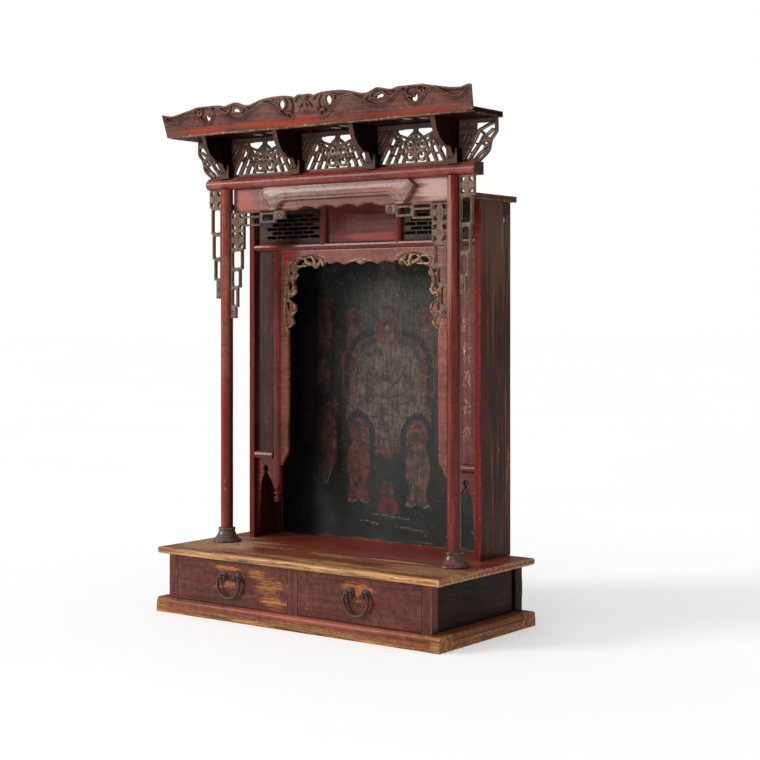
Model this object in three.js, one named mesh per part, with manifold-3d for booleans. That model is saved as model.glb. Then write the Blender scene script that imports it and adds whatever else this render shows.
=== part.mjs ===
import * as THREE from 'three';
import { mergeVertices } from 'three/addons/utils/BufferGeometryUtils.js';
import Module from 'manifold-3d';

const wasm = await Module();
wasm.setup();

// Overall size in millimetres. X runs across, Y from the front at -Y to the back, Z up.
const WIDTH = 950;
const DEPTH = 409;
const HEIGHT = 1280;
// Joint left between pieces that touch.
const GAP = 0.3;

// Plinth: four rails with a square lower edge and a half-round roll above it.
const PLINTH_HALF_X = 434;
const PLINTH_TOP = 36;
const PLINTH_RAIL = 52;
const PLINTH_ROLL_R = 10;
const PLINTH_ROLL_SINK = 1.5;

// Case of the base, with two drawers.
const CASE_HALF_X = 403.5;
const CASE_FRONT = -189;
const CASE_BACK = 194;
const CASE_TOP = 146;
const STILE_W = 26;
const STILE_DEPTH = 24;
const BACK_STILE_DEPTH = 30;
const MIDDLE_STILE_W = 29.5;
const PARTITION_T = 12;
const SIDE_PANEL_T = 10;
const SIDE_PANEL_SET_IN = 3;
const SIDE_SHRINKAGE = 14;
const BACK_PANEL_T = 12;
const WORN_EDGE = 2.2;

// Drawers.
const DRAWER_SIDE_CLEAR = 1;
const DRAWER_LOW_CLEAR = 0.6;
const DRAWER_TOP_CLEAR = 1.4;
const DRAWER_FRONT_T = 18;
const DRAWER_WALL_T = 10;
const DRAWER_FLOOR_T = 8;
const DRAWER_RIM_DROP = 12;
const DRAWER_BACK_CLEAR = 14;

// Drawer pulls: two rosettes and a hanging bail.
const PULL_Z = 107;
const PULL_HALF_X = 23;
const ROSETTE_R = 13;
const ROSETTE_T = 2.5;
const ROSETTE_DOME_R = 8.5;
const ROSETTE_NECK_R = 5;
const PIN_OUT = 9;
const NECK_LENGTH = 12.6;
const PIN_R = 2.2;
const PIN_CLEAR = 0.45;
const BAIL_DROP = 51;
const BAIL_HALF_X = 34;
const BAIL_R = 3.4;

// Table board over the drawers.
const TABLE_HALF_X = 432;
const TABLE_TOP = 163;
const TABLE_FRONT = -202;
const TABLE_EDGE_R = 6;

// Posts of the portico.
const POST_X = 354.5;
const POST_Y = -28;
const POST_R = 16;
const POST_BASE_R = 38;
const POST_BASE_RIM_R = 22;
const POST_BASE_H = 36;

// Beam on the posts, and the board and plaque below it.
const BEAM_HALF_X = 419;
const BEAM_FRONT = -40;
const BEAM_BACK = 0;
const BEAM_LOW = 1073;
const BEAM_TOP = 1100;
const BEAM_FILLET = 3;
const APRON_FRONT = -20;
const APRON_T = 12;
const APRON_H = 60;
const APRON_SCALLOP = 8;
const APRON_SCALLOP_HALF_X = 130;
const PLAQUE_T = 13;
const PLAQUE_HALF_X = 241;
const PLAQUE_FOOT_X = 209;
const PLAQUE_NECK_X = 182;
const PLAQUE_SPAN_X = 158;
const PLAQUE_RISE = 25;

// Openwork brackets beside the posts.
const FRET_FRONT = -32;
const FRET_T = 9;
const FRET_BAR = 5;

// Blocks and forward brackets on the beam, and the pierced frieze between them.
const INNER_BRACKET_X = 118;
const CUP_HALF_X = 15;
const CUP_FRONT = -39;
const CUP_BACK = -8;
const CUP_SEAT = 13;
const CUP_H = 35;
const BRACKET_T = 13;
const FRIEZE_FRONT = -20;
const FRIEZE_T = 10;
const FRIEZE_RAIL = 13;

// Roof board and the leaning carved crest before it.
const ROOF_HALF_X = 467;
const ROOF_LOW = 1203.5;
const ROOF_T = 13;
const ROOF_BACK = 6;
const CREST_FRONT = -130;
const CREST_T = 10;
const CREST_LEAN = 0.27;
const CREST_FOOT_HALF_X = 470;
const CREST_BEAD = 2.6;
const CREST_BEAD_PROUD = 2.4;

// Shrine box.
const BOX_HALF_X = 363;
const BOX_FRONT = 70;
const BOX_SIDE_T = 16;
const BOX_BACK_T = 10;
const BOX_BACK_SET = 2;
const BOX_TOP_LOW = 1022;
const BOX_TOP_T = 14;
const BOX_TOP_HALF_X = 381;
const BATTEN_W = 34;
const BATTEN_H = 32;
const MID_RAIL_Z = 925;
const MID_RAIL_H = 18;
const FRAME_T = 18;
const HANGING_POST_X = 274;
const HANGING_POST_R = 11;
const HANGING_POST_LOW = 296;
const FINIAL_H = 36;
const UPPER_STILE_X = 118;
const UPPER_STILE_W = 20;
const PANEL_SET_IN = 11;
const PANEL_T = 7;
const SMALL_RAIL_LOW = 371;
const SMALL_RAIL_H = 21;
const KEYHOLE_H = 75;
const KEYHOLE_R = 9;
const LATTICE_ROWS = 6;
const LATTICE_SLOTS = 5;
const LATTICE_BAR = 3;
const LATTICE_MARGIN_X = 34;
const LATTICE_MARGIN_Z = 11;
const BOX_APRON_T = 9;
const BOX_APRON_H = 40;
const BOX_APRON_SIDE = 25;
const BOX_APRON_LOW = 356;
const BOX_APRON_SCALLOP = 8;

// Colours of the worn lacquer, timber and iron.
const RED_WORN = 0x9a5a4c;
const RED_DARK = 0x6e2620;
const RED_FADED = 0xa5645a;
const BROWN_RED = 0x643832;
const BROWN_DARK = 0x37221c;
const TAN_WORN = 0x8a5434;
const CARVED = 0x7c6a5e;
const BLUE_BLACK = 0x2b3033;
const BASE_GREY = 0x4b413c;
const IRON = 0x1e1917;

const frameBack = DEPTH / 2;
const frameFront = -DEPTH / 2;

function lacquer(color, roughness = 0.6, metalness = 0) {
  return new THREE.MeshStandardMaterial({ color, roughness, metalness });
}

function mesh(name, geometry, color, position = [0, 0, 0], roughness = 0.6, metalness = 0) {
  const made = new THREE.Mesh(geometry, lacquer(color, roughness, metalness));
  made.name = name;
  made.position.set(...position);
  return made;
}

function block(x0, x1, y0, y1, z0, z1) {
  const geometry = new THREE.BoxGeometry(x1 - x0, y1 - y0, z1 - z0);
  geometry.translate((x0 + x1) / 2, (y0 + y1) / 2, (z0 + z1) / 2);
  return geometry;
}

// The outer line always runs anticlockwise, whichever way its points were given.
function outline(points) {
  const outer = points.map(([x, y]) => new THREE.Vector2(x, y));
  if (THREE.ShapeUtils.isClockWise(outer)) {
    outer.reverse();
  }
  return new THREE.Shape(outer);
}

function solid(geometry) {
  const plain = geometry.clone();
  plain.deleteAttribute('normal');
  plain.deleteAttribute('uv');
  const merged = mergeVertices(plain, 1e-4);
  return new wasm.Manifold(new wasm.Mesh({
    numProp: 3,
    vertProperties: new Float32Array(merged.attributes.position.array),
    triVerts: new Uint32Array(merged.index.array),
  }));
}

function shell(body) {
  const made = body.getMesh();
  const geometry = new THREE.BufferGeometry();
  geometry.setAttribute('position', new THREE.BufferAttribute(new Float32Array(made.vertProperties), 3));
  geometry.setIndex(new THREE.BufferAttribute(new Uint32Array(made.triVerts), 1));
  geometry.computeVertexNormals();
  return geometry;
}

function slab(points, y0, y1) {
  const geometry = new THREE.ExtrudeGeometry(outline(points), { depth: y1 - y0, bevelEnabled: false });
  geometry.rotateX(Math.PI / 2);
  geometry.translate(0, y1, 0);
  return geometry;
}

// A board cut from an outline in X and Z; its front face lies at Y 0 and its back at Y thickness.
function plate(points, thickness, holes = []) {
  if (holes.length === 0) {
    return slab(points, 0, thickness);
  }
  const cutters = holes.map((hole) => solid(slab(hole, -1, thickness + 1)));
  return shell(solid(slab(points, 0, thickness)).subtract(wasm.Manifold.union(cutters)));
}

// A bar with an outline in Y and Z, drawn along X.
function alongX(points, x0, x1) {
  const geometry = new THREE.ExtrudeGeometry(outline(points), { depth: x1 - x0, bevelEnabled: false });
  const axes = new THREE.Matrix4().makeBasis(
    new THREE.Vector3(0, 1, 0),
    new THREE.Vector3(0, 0, 1),
    new THREE.Vector3(1, 0, 0),
  );
  geometry.applyMatrix4(axes);
  geometry.translate(x0, 0, 0);
  return geometry;
}

// A turned piece on the Z axis from pairs of radius and height.
function turned(profile, sides) {
  const geometry = new THREE.LatheGeometry(profile.map(([r, z]) => new THREE.Vector2(r, z)), sides);
  geometry.rotateX(Math.PI / 2);
  return geometry;
}

function arc(cx, cy, rx, ry, from, to, steps) {
  const points = [];
  for (let i = 0; i <= steps; i += 1) {
    const angle = THREE.MathUtils.degToRad(from + ((to - from) * i) / steps);
    points.push([cx + rx * Math.cos(angle), cy + ry * Math.sin(angle)]);
  }
  return points;
}

function ring(cx, cy, rx, ry, steps, tilt = 0) {
  const points = [];
  for (let i = 0; i < steps; i += 1) {
    const angle = (2 * Math.PI * i) / steps;
    const x = rx * Math.cos(angle);
    const y = ry * Math.sin(angle);
    points.push([
      cx + x * Math.cos(tilt) - y * Math.sin(tilt),
      cy + x * Math.sin(tilt) + y * Math.cos(tilt),
    ]);
  }
  return points;
}

// A slot of one width between two points, with a pointed end at each.
function slot([x0, y0], [x1, y1], width) {
  const length = Math.hypot(x1 - x0, y1 - y0);
  const ux = (x1 - x0) / length;
  const uy = (y1 - y0) / length;
  const half = width / 2;
  const at = (along, across) => [x0 + ux * along - uy * across, y0 + uy * along + ux * across];
  const tip = Math.min(half, length / 3);
  const oneSide = [at(0, 0), at(tip, half), at(length - tip, half)];
  const otherSide = [at(length, 0), at(length - tip, -half), at(tip, -half)];
  return oneSide.concat(otherSide);
}

function window4(x0, x1, z0, z1) {
  return [[x0, z0], [x1, z0], [x1, z1], [x0, z1]];
}

function mirrored(points) {
  return points.map(([x, y]) => [-x, y]).reverse();
}

// The holes of one side and the same holes on the other side.
function bothSides(holes) {
  return holes.concat(holes.map(mirrored));
}

// A row of hollow scallops between x0 and x1: cusps at height low, crowns higher by rise.
function scallops(x0, x1, count, low, rise, steps) {
  const points = [];
  for (let i = 0; i < count; i += 1) {
    for (let k = 0; k < steps; k += 1) {
      const t = k / steps;
      points.push([x0 + ((x1 - x0) * (i + t)) / count, low + rise * Math.sin(Math.PI * t)]);
    }
  }
  points.push([x1, low]);
  return points;
}

function spline(points, steps) {
  const curve = new THREE.SplineCurve(points.map(([x, y]) => new THREE.Vector2(x, y)));
  return curve.getPoints(steps).map((p) => [p.x, p.y]);
}

// A band of one width along a line of points.
function band(points, width) {
  const left = [];
  const right = [];
  for (let i = 0; i < points.length; i += 1) {
    const before = points[Math.max(i - 1, 0)];
    const after = points[Math.min(i + 1, points.length - 1)];
    const length = Math.hypot(after[0] - before[0], after[1] - before[1]);
    const nx = -(after[1] - before[1]) / length;
    const ny = (after[0] - before[0]) / length;
    left.push([points[i][0] + (nx * width) / 2, points[i][1] + (ny * width) / 2]);
    right.push([points[i][0] - (nx * width) / 2, points[i][1] - (ny * width) / 2]);
  }
  return left.concat(right.reverse());
}

// A closed rod through points with a radius at each, for a rod that stays in one XZ plane.
function rod(points, radii, sides) {
  const positions = [];
  const index = [];
  const count = points.length;
  for (let i = 0; i < count; i += 1) {
    const before = points[Math.max(i - 1, 0)];
    const after = points[Math.min(i + 1, count - 1)];
    const length = Math.hypot(after[0] - before[0], after[1] - before[1]);
    const nx = -(after[1] - before[1]) / length;
    const nz = (after[0] - before[0]) / length;
    for (let k = 0; k < sides; k += 1) {
      const angle = (2 * Math.PI * k) / sides;
      const across = radii[i] * Math.cos(angle);
      positions.push(points[i][0] + nx * across, radii[i] * Math.sin(angle), points[i][1] + nz * across);
    }
  }
  for (let i = 0; i < count - 1; i += 1) {
    for (let k = 0; k < sides; k += 1) {
      const a = i * sides + k;
      const b = i * sides + ((k + 1) % sides);
      index.push(a, a + sides, b, b, a + sides, b + sides);
    }
  }
  positions.push(points[0][0], 0, points[0][1]);
  positions.push(points[count - 1][0], 0, points[count - 1][1]);
  const start = count * sides;
  for (let k = 0; k < sides; k += 1) {
    const next = (k + 1) % sides;
    index.push(start, k, next);
    index.push(start + 1, (count - 1) * sides + next, (count - 1) * sides + k);
  }
  const geometry = new THREE.BufferGeometry();
  geometry.setAttribute('position', new THREE.Float32BufferAttribute(positions, 3));
  geometry.setIndex(index);
  geometry.computeVertexNormals();
  return geometry;
}

// Plinth.
function plinthProfile(width) {
  const rollCentre = PLINTH_TOP - PLINTH_ROLL_R;
  const roll = arc(PLINTH_ROLL_SINK + PLINTH_ROLL_R, rollCentre, PLINTH_ROLL_R, PLINTH_ROLL_R, 205, 90, 6);
  const low = [[width, 0], [0, 0], [0, rollCentre - PLINTH_ROLL_R * 0.6]];
  return low.concat(roll, [[width, PLINTH_TOP]]);
}

const base = new THREE.Group();
base.name = 'base';

function plinthRail(name, facing) {
  const profile = plinthProfile(PLINTH_RAIL);
  if (facing === 'front') {
    const points = profile.map(([out, z]) => [frameFront + out, z]);
    base.add(mesh(name, alongX(points, -PLINTH_HALF_X, PLINTH_HALF_X), RED_WORN));
  } else if (facing === 'back') {
    const points = profile.map(([out, z]) => [frameBack - out, z]);
    base.add(mesh(name, alongX(points, -PLINTH_HALF_X, PLINTH_HALF_X), RED_WORN));
  } else {
    const points = profile.map(([out, z]) => [facing * (PLINTH_HALF_X - out), z]);
    const end = frameBack - PLINTH_RAIL - GAP;
    base.add(mesh(name, slab(points, -end, end), TAN_WORN));
  }
}

plinthRail('plinth_rail_front', 'front');
plinthRail('plinth_rail_back', 'back');
plinthRail('plinth_rail_left', -1);
plinthRail('plinth_rail_right', 1);

// Stiles, panels and the middle partition of the case.
const caseLow = PLINTH_TOP + GAP;
const caseHigh = CASE_TOP - GAP;
const openingHalf = CASE_HALF_X - STILE_W;

function cornerStile(name, side) {
  const inner = side * openingHalf;
  const outer = side * CASE_HALF_X;
  const geometry = block(
    Math.min(inner, outer),
    Math.max(inner, outer),
    CASE_FRONT,
    CASE_FRONT + STILE_DEPTH,
    caseLow,
    caseHigh,
  );
  base.add(mesh(name, geometry, BROWN_RED));
}

// The back stiles are worn wavy along their outer back edge.
function wornStile(name, side) {
  const steps = 10;
  const back = [];
  for (let i = 0; i <= steps; i += 1) {
    const t = i / steps;
    const wave = WORN_EDGE * (0.5 + 0.5 * Math.sin(2.6 * Math.PI * t + 0.7));
    back.push([CASE_BACK - wave, caseLow + (caseHigh - caseLow) * t]);
  }
  const stileFront = CASE_BACK - BACK_STILE_DEPTH;
  const points = [[stileFront, caseHigh], [stileFront, caseLow]].concat(back);
  const x0 = side > 0 ? openingHalf : -CASE_HALF_X;
  base.add(mesh(name, alongX(points, x0, x0 + STILE_W), BROWN_DARK));
}

function sidePanel(name, side, shrinkage) {
  const outer = CASE_HALF_X - SIDE_PANEL_SET_IN;
  const inner = outer - SIDE_PANEL_T;
  const y0 = CASE_FRONT + STILE_DEPTH + GAP;
  const y1 = CASE_BACK - BACK_STILE_DEPTH - GAP - shrinkage;
  const x0 = Math.min(side * inner, side * outer);
  const x1 = Math.max(side * inner, side * outer);
  const geometry = block(x0, x1, y0, y1, caseLow, caseHigh);
  base.add(mesh(name, geometry, BROWN_DARK));
}

cornerStile('stile_front_left', -1);
cornerStile('stile_front_right', 1);
wornStile('stile_back_left', -1);
wornStile('stile_back_right', 1);
sidePanel('base_side_left', -1, 0);
sidePanel('base_side_right', 1, SIDE_SHRINKAGE);

const backPanelFront = CASE_BACK - BACK_PANEL_T;
base.add(mesh(
  'base_back',
  block(-openingHalf + GAP, openingHalf - GAP, backPanelFront, CASE_BACK - 1, caseLow, caseHigh),
  BROWN_DARK,
));

const partitionFace = CASE_FRONT + STILE_DEPTH;
const partitionPlan = [
  [-MIDDLE_STILE_W / 2, CASE_FRONT],
  [MIDDLE_STILE_W / 2, CASE_FRONT],
  [MIDDLE_STILE_W / 2, partitionFace],
  [PARTITION_T / 2, partitionFace],
  [PARTITION_T / 2, backPanelFront - GAP],
  [-PARTITION_T / 2, backPanelFront - GAP],
  [-PARTITION_T / 2, partitionFace],
  [-MIDDLE_STILE_W / 2, partitionFace],
];
const partitionGeometry = new THREE.ExtrudeGeometry(outline(partitionPlan), {
  depth: caseHigh - caseLow,
  bevelEnabled: false,
});
partitionGeometry.translate(0, 0, caseLow);
base.add(mesh('partition_with_middle_stile', partitionGeometry, BROWN_RED));

// Table board with a rounded edge.
const tablePlan = [
  [-TABLE_HALF_X + TABLE_EDGE_R, TABLE_FRONT + TABLE_EDGE_R],
  [TABLE_HALF_X - TABLE_EDGE_R, TABLE_FRONT + TABLE_EDGE_R],
  [TABLE_HALF_X - TABLE_EDGE_R, frameBack - TABLE_EDGE_R],
  [-TABLE_HALF_X + TABLE_EDGE_R, frameBack - TABLE_EDGE_R],
];
const tableGeometry = new THREE.ExtrudeGeometry(outline(tablePlan), {
  depth: TABLE_TOP - CASE_TOP - 2 * TABLE_EDGE_R,
  bevelEnabled: true,
  bevelThickness: TABLE_EDGE_R,
  bevelSize: TABLE_EDGE_R,
  bevelSegments: 4,
});
tableGeometry.translate(0, 0, CASE_TOP + TABLE_EDGE_R);
base.add(mesh('table_board', tableGeometry, TAN_WORN));

// Drawers, each with its front, walls and floor joined, and open at the top.
const drawerHalf = (openingHalf - MIDDLE_STILE_W / 2) / 2 - DRAWER_SIDE_CLEAR;
const drawerX = (openingHalf + MIDDLE_STILE_W / 2) / 2;
const drawerLow = PLINTH_TOP + DRAWER_LOW_CLEAR;
const drawerHigh = CASE_TOP - DRAWER_TOP_CLEAR;
const drawerBack = backPanelFront - DRAWER_BACK_CLEAR;

function drawerGeometry() {
  const frontBack = CASE_FRONT + DRAWER_FRONT_T;
  const front = block(-drawerHalf, drawerHalf, CASE_FRONT, frontBack, drawerLow, drawerHigh);
  const rim = drawerHigh - DRAWER_RIM_DROP;
  const tray = block(-drawerHalf, drawerHalf, CASE_FRONT + 1, drawerBack, drawerLow, rim);
  const inside = block(
    -drawerHalf + DRAWER_WALL_T,
    drawerHalf - DRAWER_WALL_T,
    CASE_FRONT + DRAWER_FRONT_T,
    drawerBack - DRAWER_WALL_T,
    drawerLow + DRAWER_FLOOR_T,
    HEIGHT,
  );
  return shell(solid(front).add(solid(tray)).subtract(solid(inside)));
}

function rosetteGeometry() {
  const rise = ROSETTE_T * 2;
  const profile = [
    [0, 0],
    [ROSETTE_R, 0],
    [ROSETTE_R - 1, ROSETTE_T],
    [ROSETTE_DOME_R, ROSETTE_T],
    [ROSETTE_NECK_R, rise],
    [ROSETTE_NECK_R, NECK_LENGTH - 1.5],
    [ROSETTE_NECK_R - 1.5, NECK_LENGTH],
    [0, NECK_LENGTH],
  ];
  const body = turned(profile, 10);
  const eye = new THREE.CylinderGeometry(PIN_R + PIN_CLEAR, PIN_R + PIN_CLEAR, 4 * ROSETTE_R, 8);
  eye.rotateZ(Math.PI / 2);
  eye.translate(0, 0, PIN_OUT);
  const cut = shell(solid(body).subtract(solid(eye)));
  cut.rotateX(Math.PI / 2);
  return cut;
}

function bailGeometry() {
  const inner = PULL_HALF_X - 10;
  const half = [
    [inner + 1, -10],
    [inner - 1, -5],
    [inner + 1.5, -1],
    [inner + 5, 0],
    [PULL_HALF_X, 0],
    [PULL_HALF_X + 6, 0],
    [BAIL_HALF_X - 1, -3.5],
    [BAIL_HALF_X + 1.5, -11],
    [BAIL_HALF_X, -BAIL_DROP * 0.48],
    [BAIL_HALF_X * 0.78, -BAIL_DROP * 0.76],
    [BAIL_HALF_X * 0.42, -BAIL_DROP * 0.95],
  ];
  const halfRadii = [2.6, 2.3, PIN_R, PIN_R, PIN_R, PIN_R, 2.5, 2.9, BAIL_R, BAIL_R, BAIL_R];
  const points = half.concat([[0, -BAIL_DROP]], mirrored(half));
  const radii = halfRadii.concat([BAIL_R], halfRadii.slice().reverse());
  return rod(points, radii, 6);
}

function drawer(side, label) {
  const group = new THREE.Group();
  group.name = `drawer_${label}_group`;
  group.position.x = side * drawerX;
  group.add(mesh(`drawer_${label}`, drawerGeometry(), BROWN_RED));
  const face = CASE_FRONT - GAP;
  for (const [place, end] of [['outer', side], ['inner', -side]]) {
    const at = [end * PULL_HALF_X, face, PULL_Z];
    group.add(mesh(`pull_${label}_rosette_${place}`, rosetteGeometry(), IRON, at, 0.5, 0.7));
  }
  group.add(mesh(`pull_${label}_bail`, bailGeometry(), IRON, [0, face - PIN_OUT, PULL_Z], 0.45, 0.75));
  return group;
}

// Portico: posts on bell bases, beam, board, plaque and openwork.
const portico = new THREE.Group();
portico.name = 'portico';

function post(label, side) {
  const foot = TABLE_TOP + GAP;
  const shoulder = POST_BASE_H * 0.78;
  const bell = [
    [0, 0],
    [POST_BASE_R, 0],
    [POST_BASE_R, 3],
    [POST_BASE_R - 4, 6],
    [POST_BASE_R - 11, POST_BASE_H * 0.38],
    [POST_BASE_RIM_R + 0.5, shoulder - 3],
    [POST_BASE_RIM_R - 2, shoulder],
    [POST_BASE_RIM_R, shoulder + 2.5],
    [POST_BASE_RIM_R, POST_BASE_H - 1.5],
    [POST_BASE_RIM_R - 1.5, POST_BASE_H],
    [0, POST_BASE_H],
  ];
  portico.add(mesh(`post_base_${label}`, turned(bell, 18), BASE_GREY, [side * POST_X, POST_Y, foot], 0.4));
  const low = foot + POST_BASE_H + GAP;
  const length = BEAM_LOW - GAP - low;
  const shaft = [[0, 0], [POST_R, 0], [POST_R, length], [0, length]];
  portico.add(mesh(`post_${label}`, turned(shaft, 18), RED_DARK, [side * POST_X, POST_Y, low], 0.45));
}

post('left', -1);
post('right', 1);

const beamRound = (BEAM_TOP - BEAM_LOW) / 2;
const beamProfile = [
  [BEAM_BACK, BEAM_LOW],
].concat(
  arc(BEAM_FRONT + beamRound, BEAM_LOW + beamRound, beamRound, beamRound, 270, 90, 10),
  [
    [CUP_FRONT + 9, BEAM_TOP],
    [CUP_FRONT + 10, BEAM_TOP + BEAM_FILLET],
    [BEAM_BACK, BEAM_TOP + BEAM_FILLET],
  ],
);
const beamSolid = solid(alongX(beamProfile, -BEAM_HALF_X, BEAM_HALF_X));
const cupPlaces = [-POST_X, -INNER_BRACKET_X, INNER_BRACKET_X, POST_X];
let beamCut = beamSolid;
for (const x of cupPlaces) {
  const seat = block(
    x - CUP_HALF_X - GAP,
    x + CUP_HALF_X + GAP,
    CUP_FRONT - GAP,
    CUP_BACK + GAP,
    BEAM_TOP,
    BEAM_TOP + BEAM_FILLET + 1,
  );
  beamCut = beamCut.subtract(solid(seat));
}
portico.add(mesh('beam', shell(beamCut), RED_WORN, [0, 0, 0], 0.5));

const apronHalf = POST_X - POST_R - GAP;
const apronHigh = BEAM_LOW - GAP;
const apronLow = BEAM_LOW - APRON_H;
const apronPoints = [
  [-apronHalf, apronHigh],
  [-apronHalf, apronLow],
].concat(
  scallops(-APRON_SCALLOP_HALF_X, APRON_SCALLOP_HALF_X, 4, apronLow, APRON_SCALLOP, 5),
  [
    [apronHalf, apronLow],
    [apronHalf, apronHigh],
  ],
);
portico.add(mesh('apron_board', plate(apronPoints, APRON_T), RED_FADED, [0, APRON_FRONT, 0]));

const plaqueHigh = BEAM_LOW - GAP;
const plaqueHalf = [
  [PLAQUE_HALF_X - 17, plaqueHigh],
  [PLAQUE_HALF_X, plaqueHigh - 15],
  [PLAQUE_FOOT_X, apronLow],
  [PLAQUE_NECK_X + 5, apronLow],
  [PLAQUE_NECK_X, apronLow + PLAQUE_RISE * 0.5],
  [PLAQUE_NECK_X - 8, apronLow + PLAQUE_RISE * 0.85],
  [PLAQUE_SPAN_X, apronLow + PLAQUE_RISE],
];
portico.add(mesh(
  'apron_plaque',
  plate(plaqueHalf.concat(mirrored(plaqueHalf)), PLAQUE_T - GAP),
  CARVED,
  [0, APRON_FRONT - PLAQUE_T, 0],
));

// Four corner holes round a leaf in a square panel of the openwork.
function leafSquare(x0, x1, z0, z1) {
  const cx = (x0 + x1) / 2;
  const cz = (z0 + z1) / 2;
  const ex = (x1 - x0) / 2 - FRET_BAR;
  const ez = (z1 - z0) / 2 - FRET_BAR;
  const holes = [];
  for (const [sx, sz] of [[-1, -1], [1, -1], [1, 1], [-1, 1]]) {
    holes.push([
      [cx + sx * ex, cz + sz * ez],
      [cx + sx * ex, cz + sz * ez * 0.28],
      [cx + sx * ex * 0.55, cz + sz * ez * 0.5],
      [cx + sx * ex * 0.25, cz + sz * ez],
    ]);
  }
  return holes;
}

// Openwork from a stack of cells beside a post; each row is one cell.
// A cell has its reach from the post, its low edge and the kind of piercing.
const OUTER_CELLS = [
  { reach: 42, low: 1026, kind: 'leaf' },
  { reach: 35.5, low: 958, kind: 'slot' },
  { reach: 32, low: 893, kind: 'slot' },
  { reach: 25.5, low: 838, kind: 'slot' },
  { reach: 18, low: 791, kind: 'end' },
];
const INNER_CELLS = [
  { reach: 44.5, low: 966, kind: 'leaf' },
  { reach: 44.5, low: 917, kind: 'leaf' },
  { reach: 38.5, low: 866, kind: 'slot' },
  { reach: 31.5, low: 819, kind: 'slot' },
  { reach: 23, low: 769, kind: 'slot' },
  { reach: 17, low: 740, kind: 'end' },
];
// Arm of the inner openwork along the board: each row has its far end, low edge and high edge.
const INNER_ARM = [
  { far: 237, low: 976, high: 1015, kind: 'double' },
  { far: 189.5, low: 983, high: 1009, kind: 'slot' },
  { far: 157, low: 991, high: 1012, kind: 'end' },
];

function cellHoles(cell, x0, x1, z0, z1) {
  if (cell.kind === 'leaf') {
    return leafSquare(x0, x1, z0, z1);
  }
  if (cell.kind === 'slot') {
    return [window4(x0 + FRET_BAR, x1 - FRET_BAR, z0 + FRET_BAR, z1 - FRET_BAR)];
  }
  if (cell.kind === 'double') {
    const middle = (z0 + z1) / 2 + 4;
    return [
      window4(x0 + FRET_BAR, x1 - FRET_BAR, z0 + FRET_BAR, middle - FRET_BAR / 2),
      window4(x0 + FRET_BAR, x1 - FRET_BAR, middle + FRET_BAR / 2, z1 - FRET_BAR),
    ];
  }
  return [];
}

function outerFret(label, side) {
  const start = POST_X + POST_R + GAP;
  const high = BEAM_LOW - GAP;
  const points = [[start, high]];
  const holes = [];
  let top = high;
  for (const cell of OUTER_CELLS) {
    points.push([start + cell.reach, top], [start + cell.reach, cell.low]);
    holes.push(...cellHoles(cell, start, start + cell.reach, cell.low, top));
    top = cell.low;
  }
  points.push([start, top]);
  const turn = (list) => (side > 0 ? list : mirrored(list));
  const geometry = plate(turn(points), FRET_T, holes.map(turn));
  portico.add(mesh(`fret_outer_${label}`, geometry, CARVED, [0, FRET_FRONT, 0]));
}

function innerFret(label, side) {
  const start = POST_X - POST_R - GAP;
  const high = 1012;
  const points = [];
  const holes = [];
  let top = high;
  for (const cell of INNER_CELLS) {
    const x = start - cell.reach;
    if (top < high) {
      points.push([x, top]);
    }
    points.push([x, cell.low]);
    holes.push(...cellHoles(cell, x, start, cell.low, top));
    top = cell.low;
  }
  points[0] = [start - INNER_CELLS[0].reach, INNER_ARM[0].low];
  points.push([start, top], [start, high]);
  const armStart = start - INNER_CELLS[0].reach;
  const above = [];
  const below = [];
  let from = armStart;
  for (const cell of INNER_ARM) {
    above.push([from, cell.high], [cell.far, cell.high]);
    below.push([from, cell.low], [cell.far, cell.low]);
    holes.push(...cellHoles(cell, cell.far, from, cell.low, cell.high));
    from = cell.far;
  }
  const all = [[armStart, high]].concat(above, below.reverse(), points.slice(1));
  const turn = (list) => (side > 0 ? list : mirrored(list));
  const geometry = plate(turn(all), FRET_T, holes.map(turn));
  portico.add(mesh(`fret_inner_${label}`, geometry, CARVED, [0, FRET_FRONT, 0]));
}

outerFret('left', -1);
outerFret('right', 1);

// The inner openwork stands before the board, so its arm meets the foot of the plaque from below.
innerFret('left', -1);
innerFret('right', 1);

// Cup blocks with forward brackets on them.
const bracketHigh = ROOF_LOW - GAP;
const seatZ = BEAM_TOP + GAP;
const BRACKET_EDGE = [
  [-118, 0],
  [-108, -31],
  [-95, -48],
  [-75, -62],
  [-54, -64],
  [-46, -77],
];

function cupBracket(name, x) {
  const cup = block(-CUP_HALF_X, CUP_HALF_X, CUP_FRONT, CUP_BACK, seatZ, seatZ + CUP_H);
  const notch = block(
    -BRACKET_T / 2 - 1.5,
    BRACKET_T / 2 + 1.5,
    CUP_FRONT - 1,
    CUP_FRONT + 6,
    seatZ + CUP_SEAT,
    seatZ + CUP_H + 1,
  );
  const edge = BRACKET_EDGE.map(([y, drop]) => [y, bracketHigh + drop]);
  const profile = [[CUP_BACK, bracketHigh]].concat(edge, [
    [CUP_FRONT + 4, seatZ + CUP_SEAT],
    [CUP_BACK, seatZ + CUP_SEAT - 1],
  ]);
  const board = alongX(profile, -BRACKET_T / 2, BRACKET_T / 2);
  const joined = solid(cup).subtract(solid(notch)).add(solid(board));
  portico.add(mesh(name, shell(joined), BROWN_DARK, [x, 0, 0]));
}

cupPlaces.forEach((x, i) => cupBracket(`roof_bracket_${i + 1}`, x));

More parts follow.
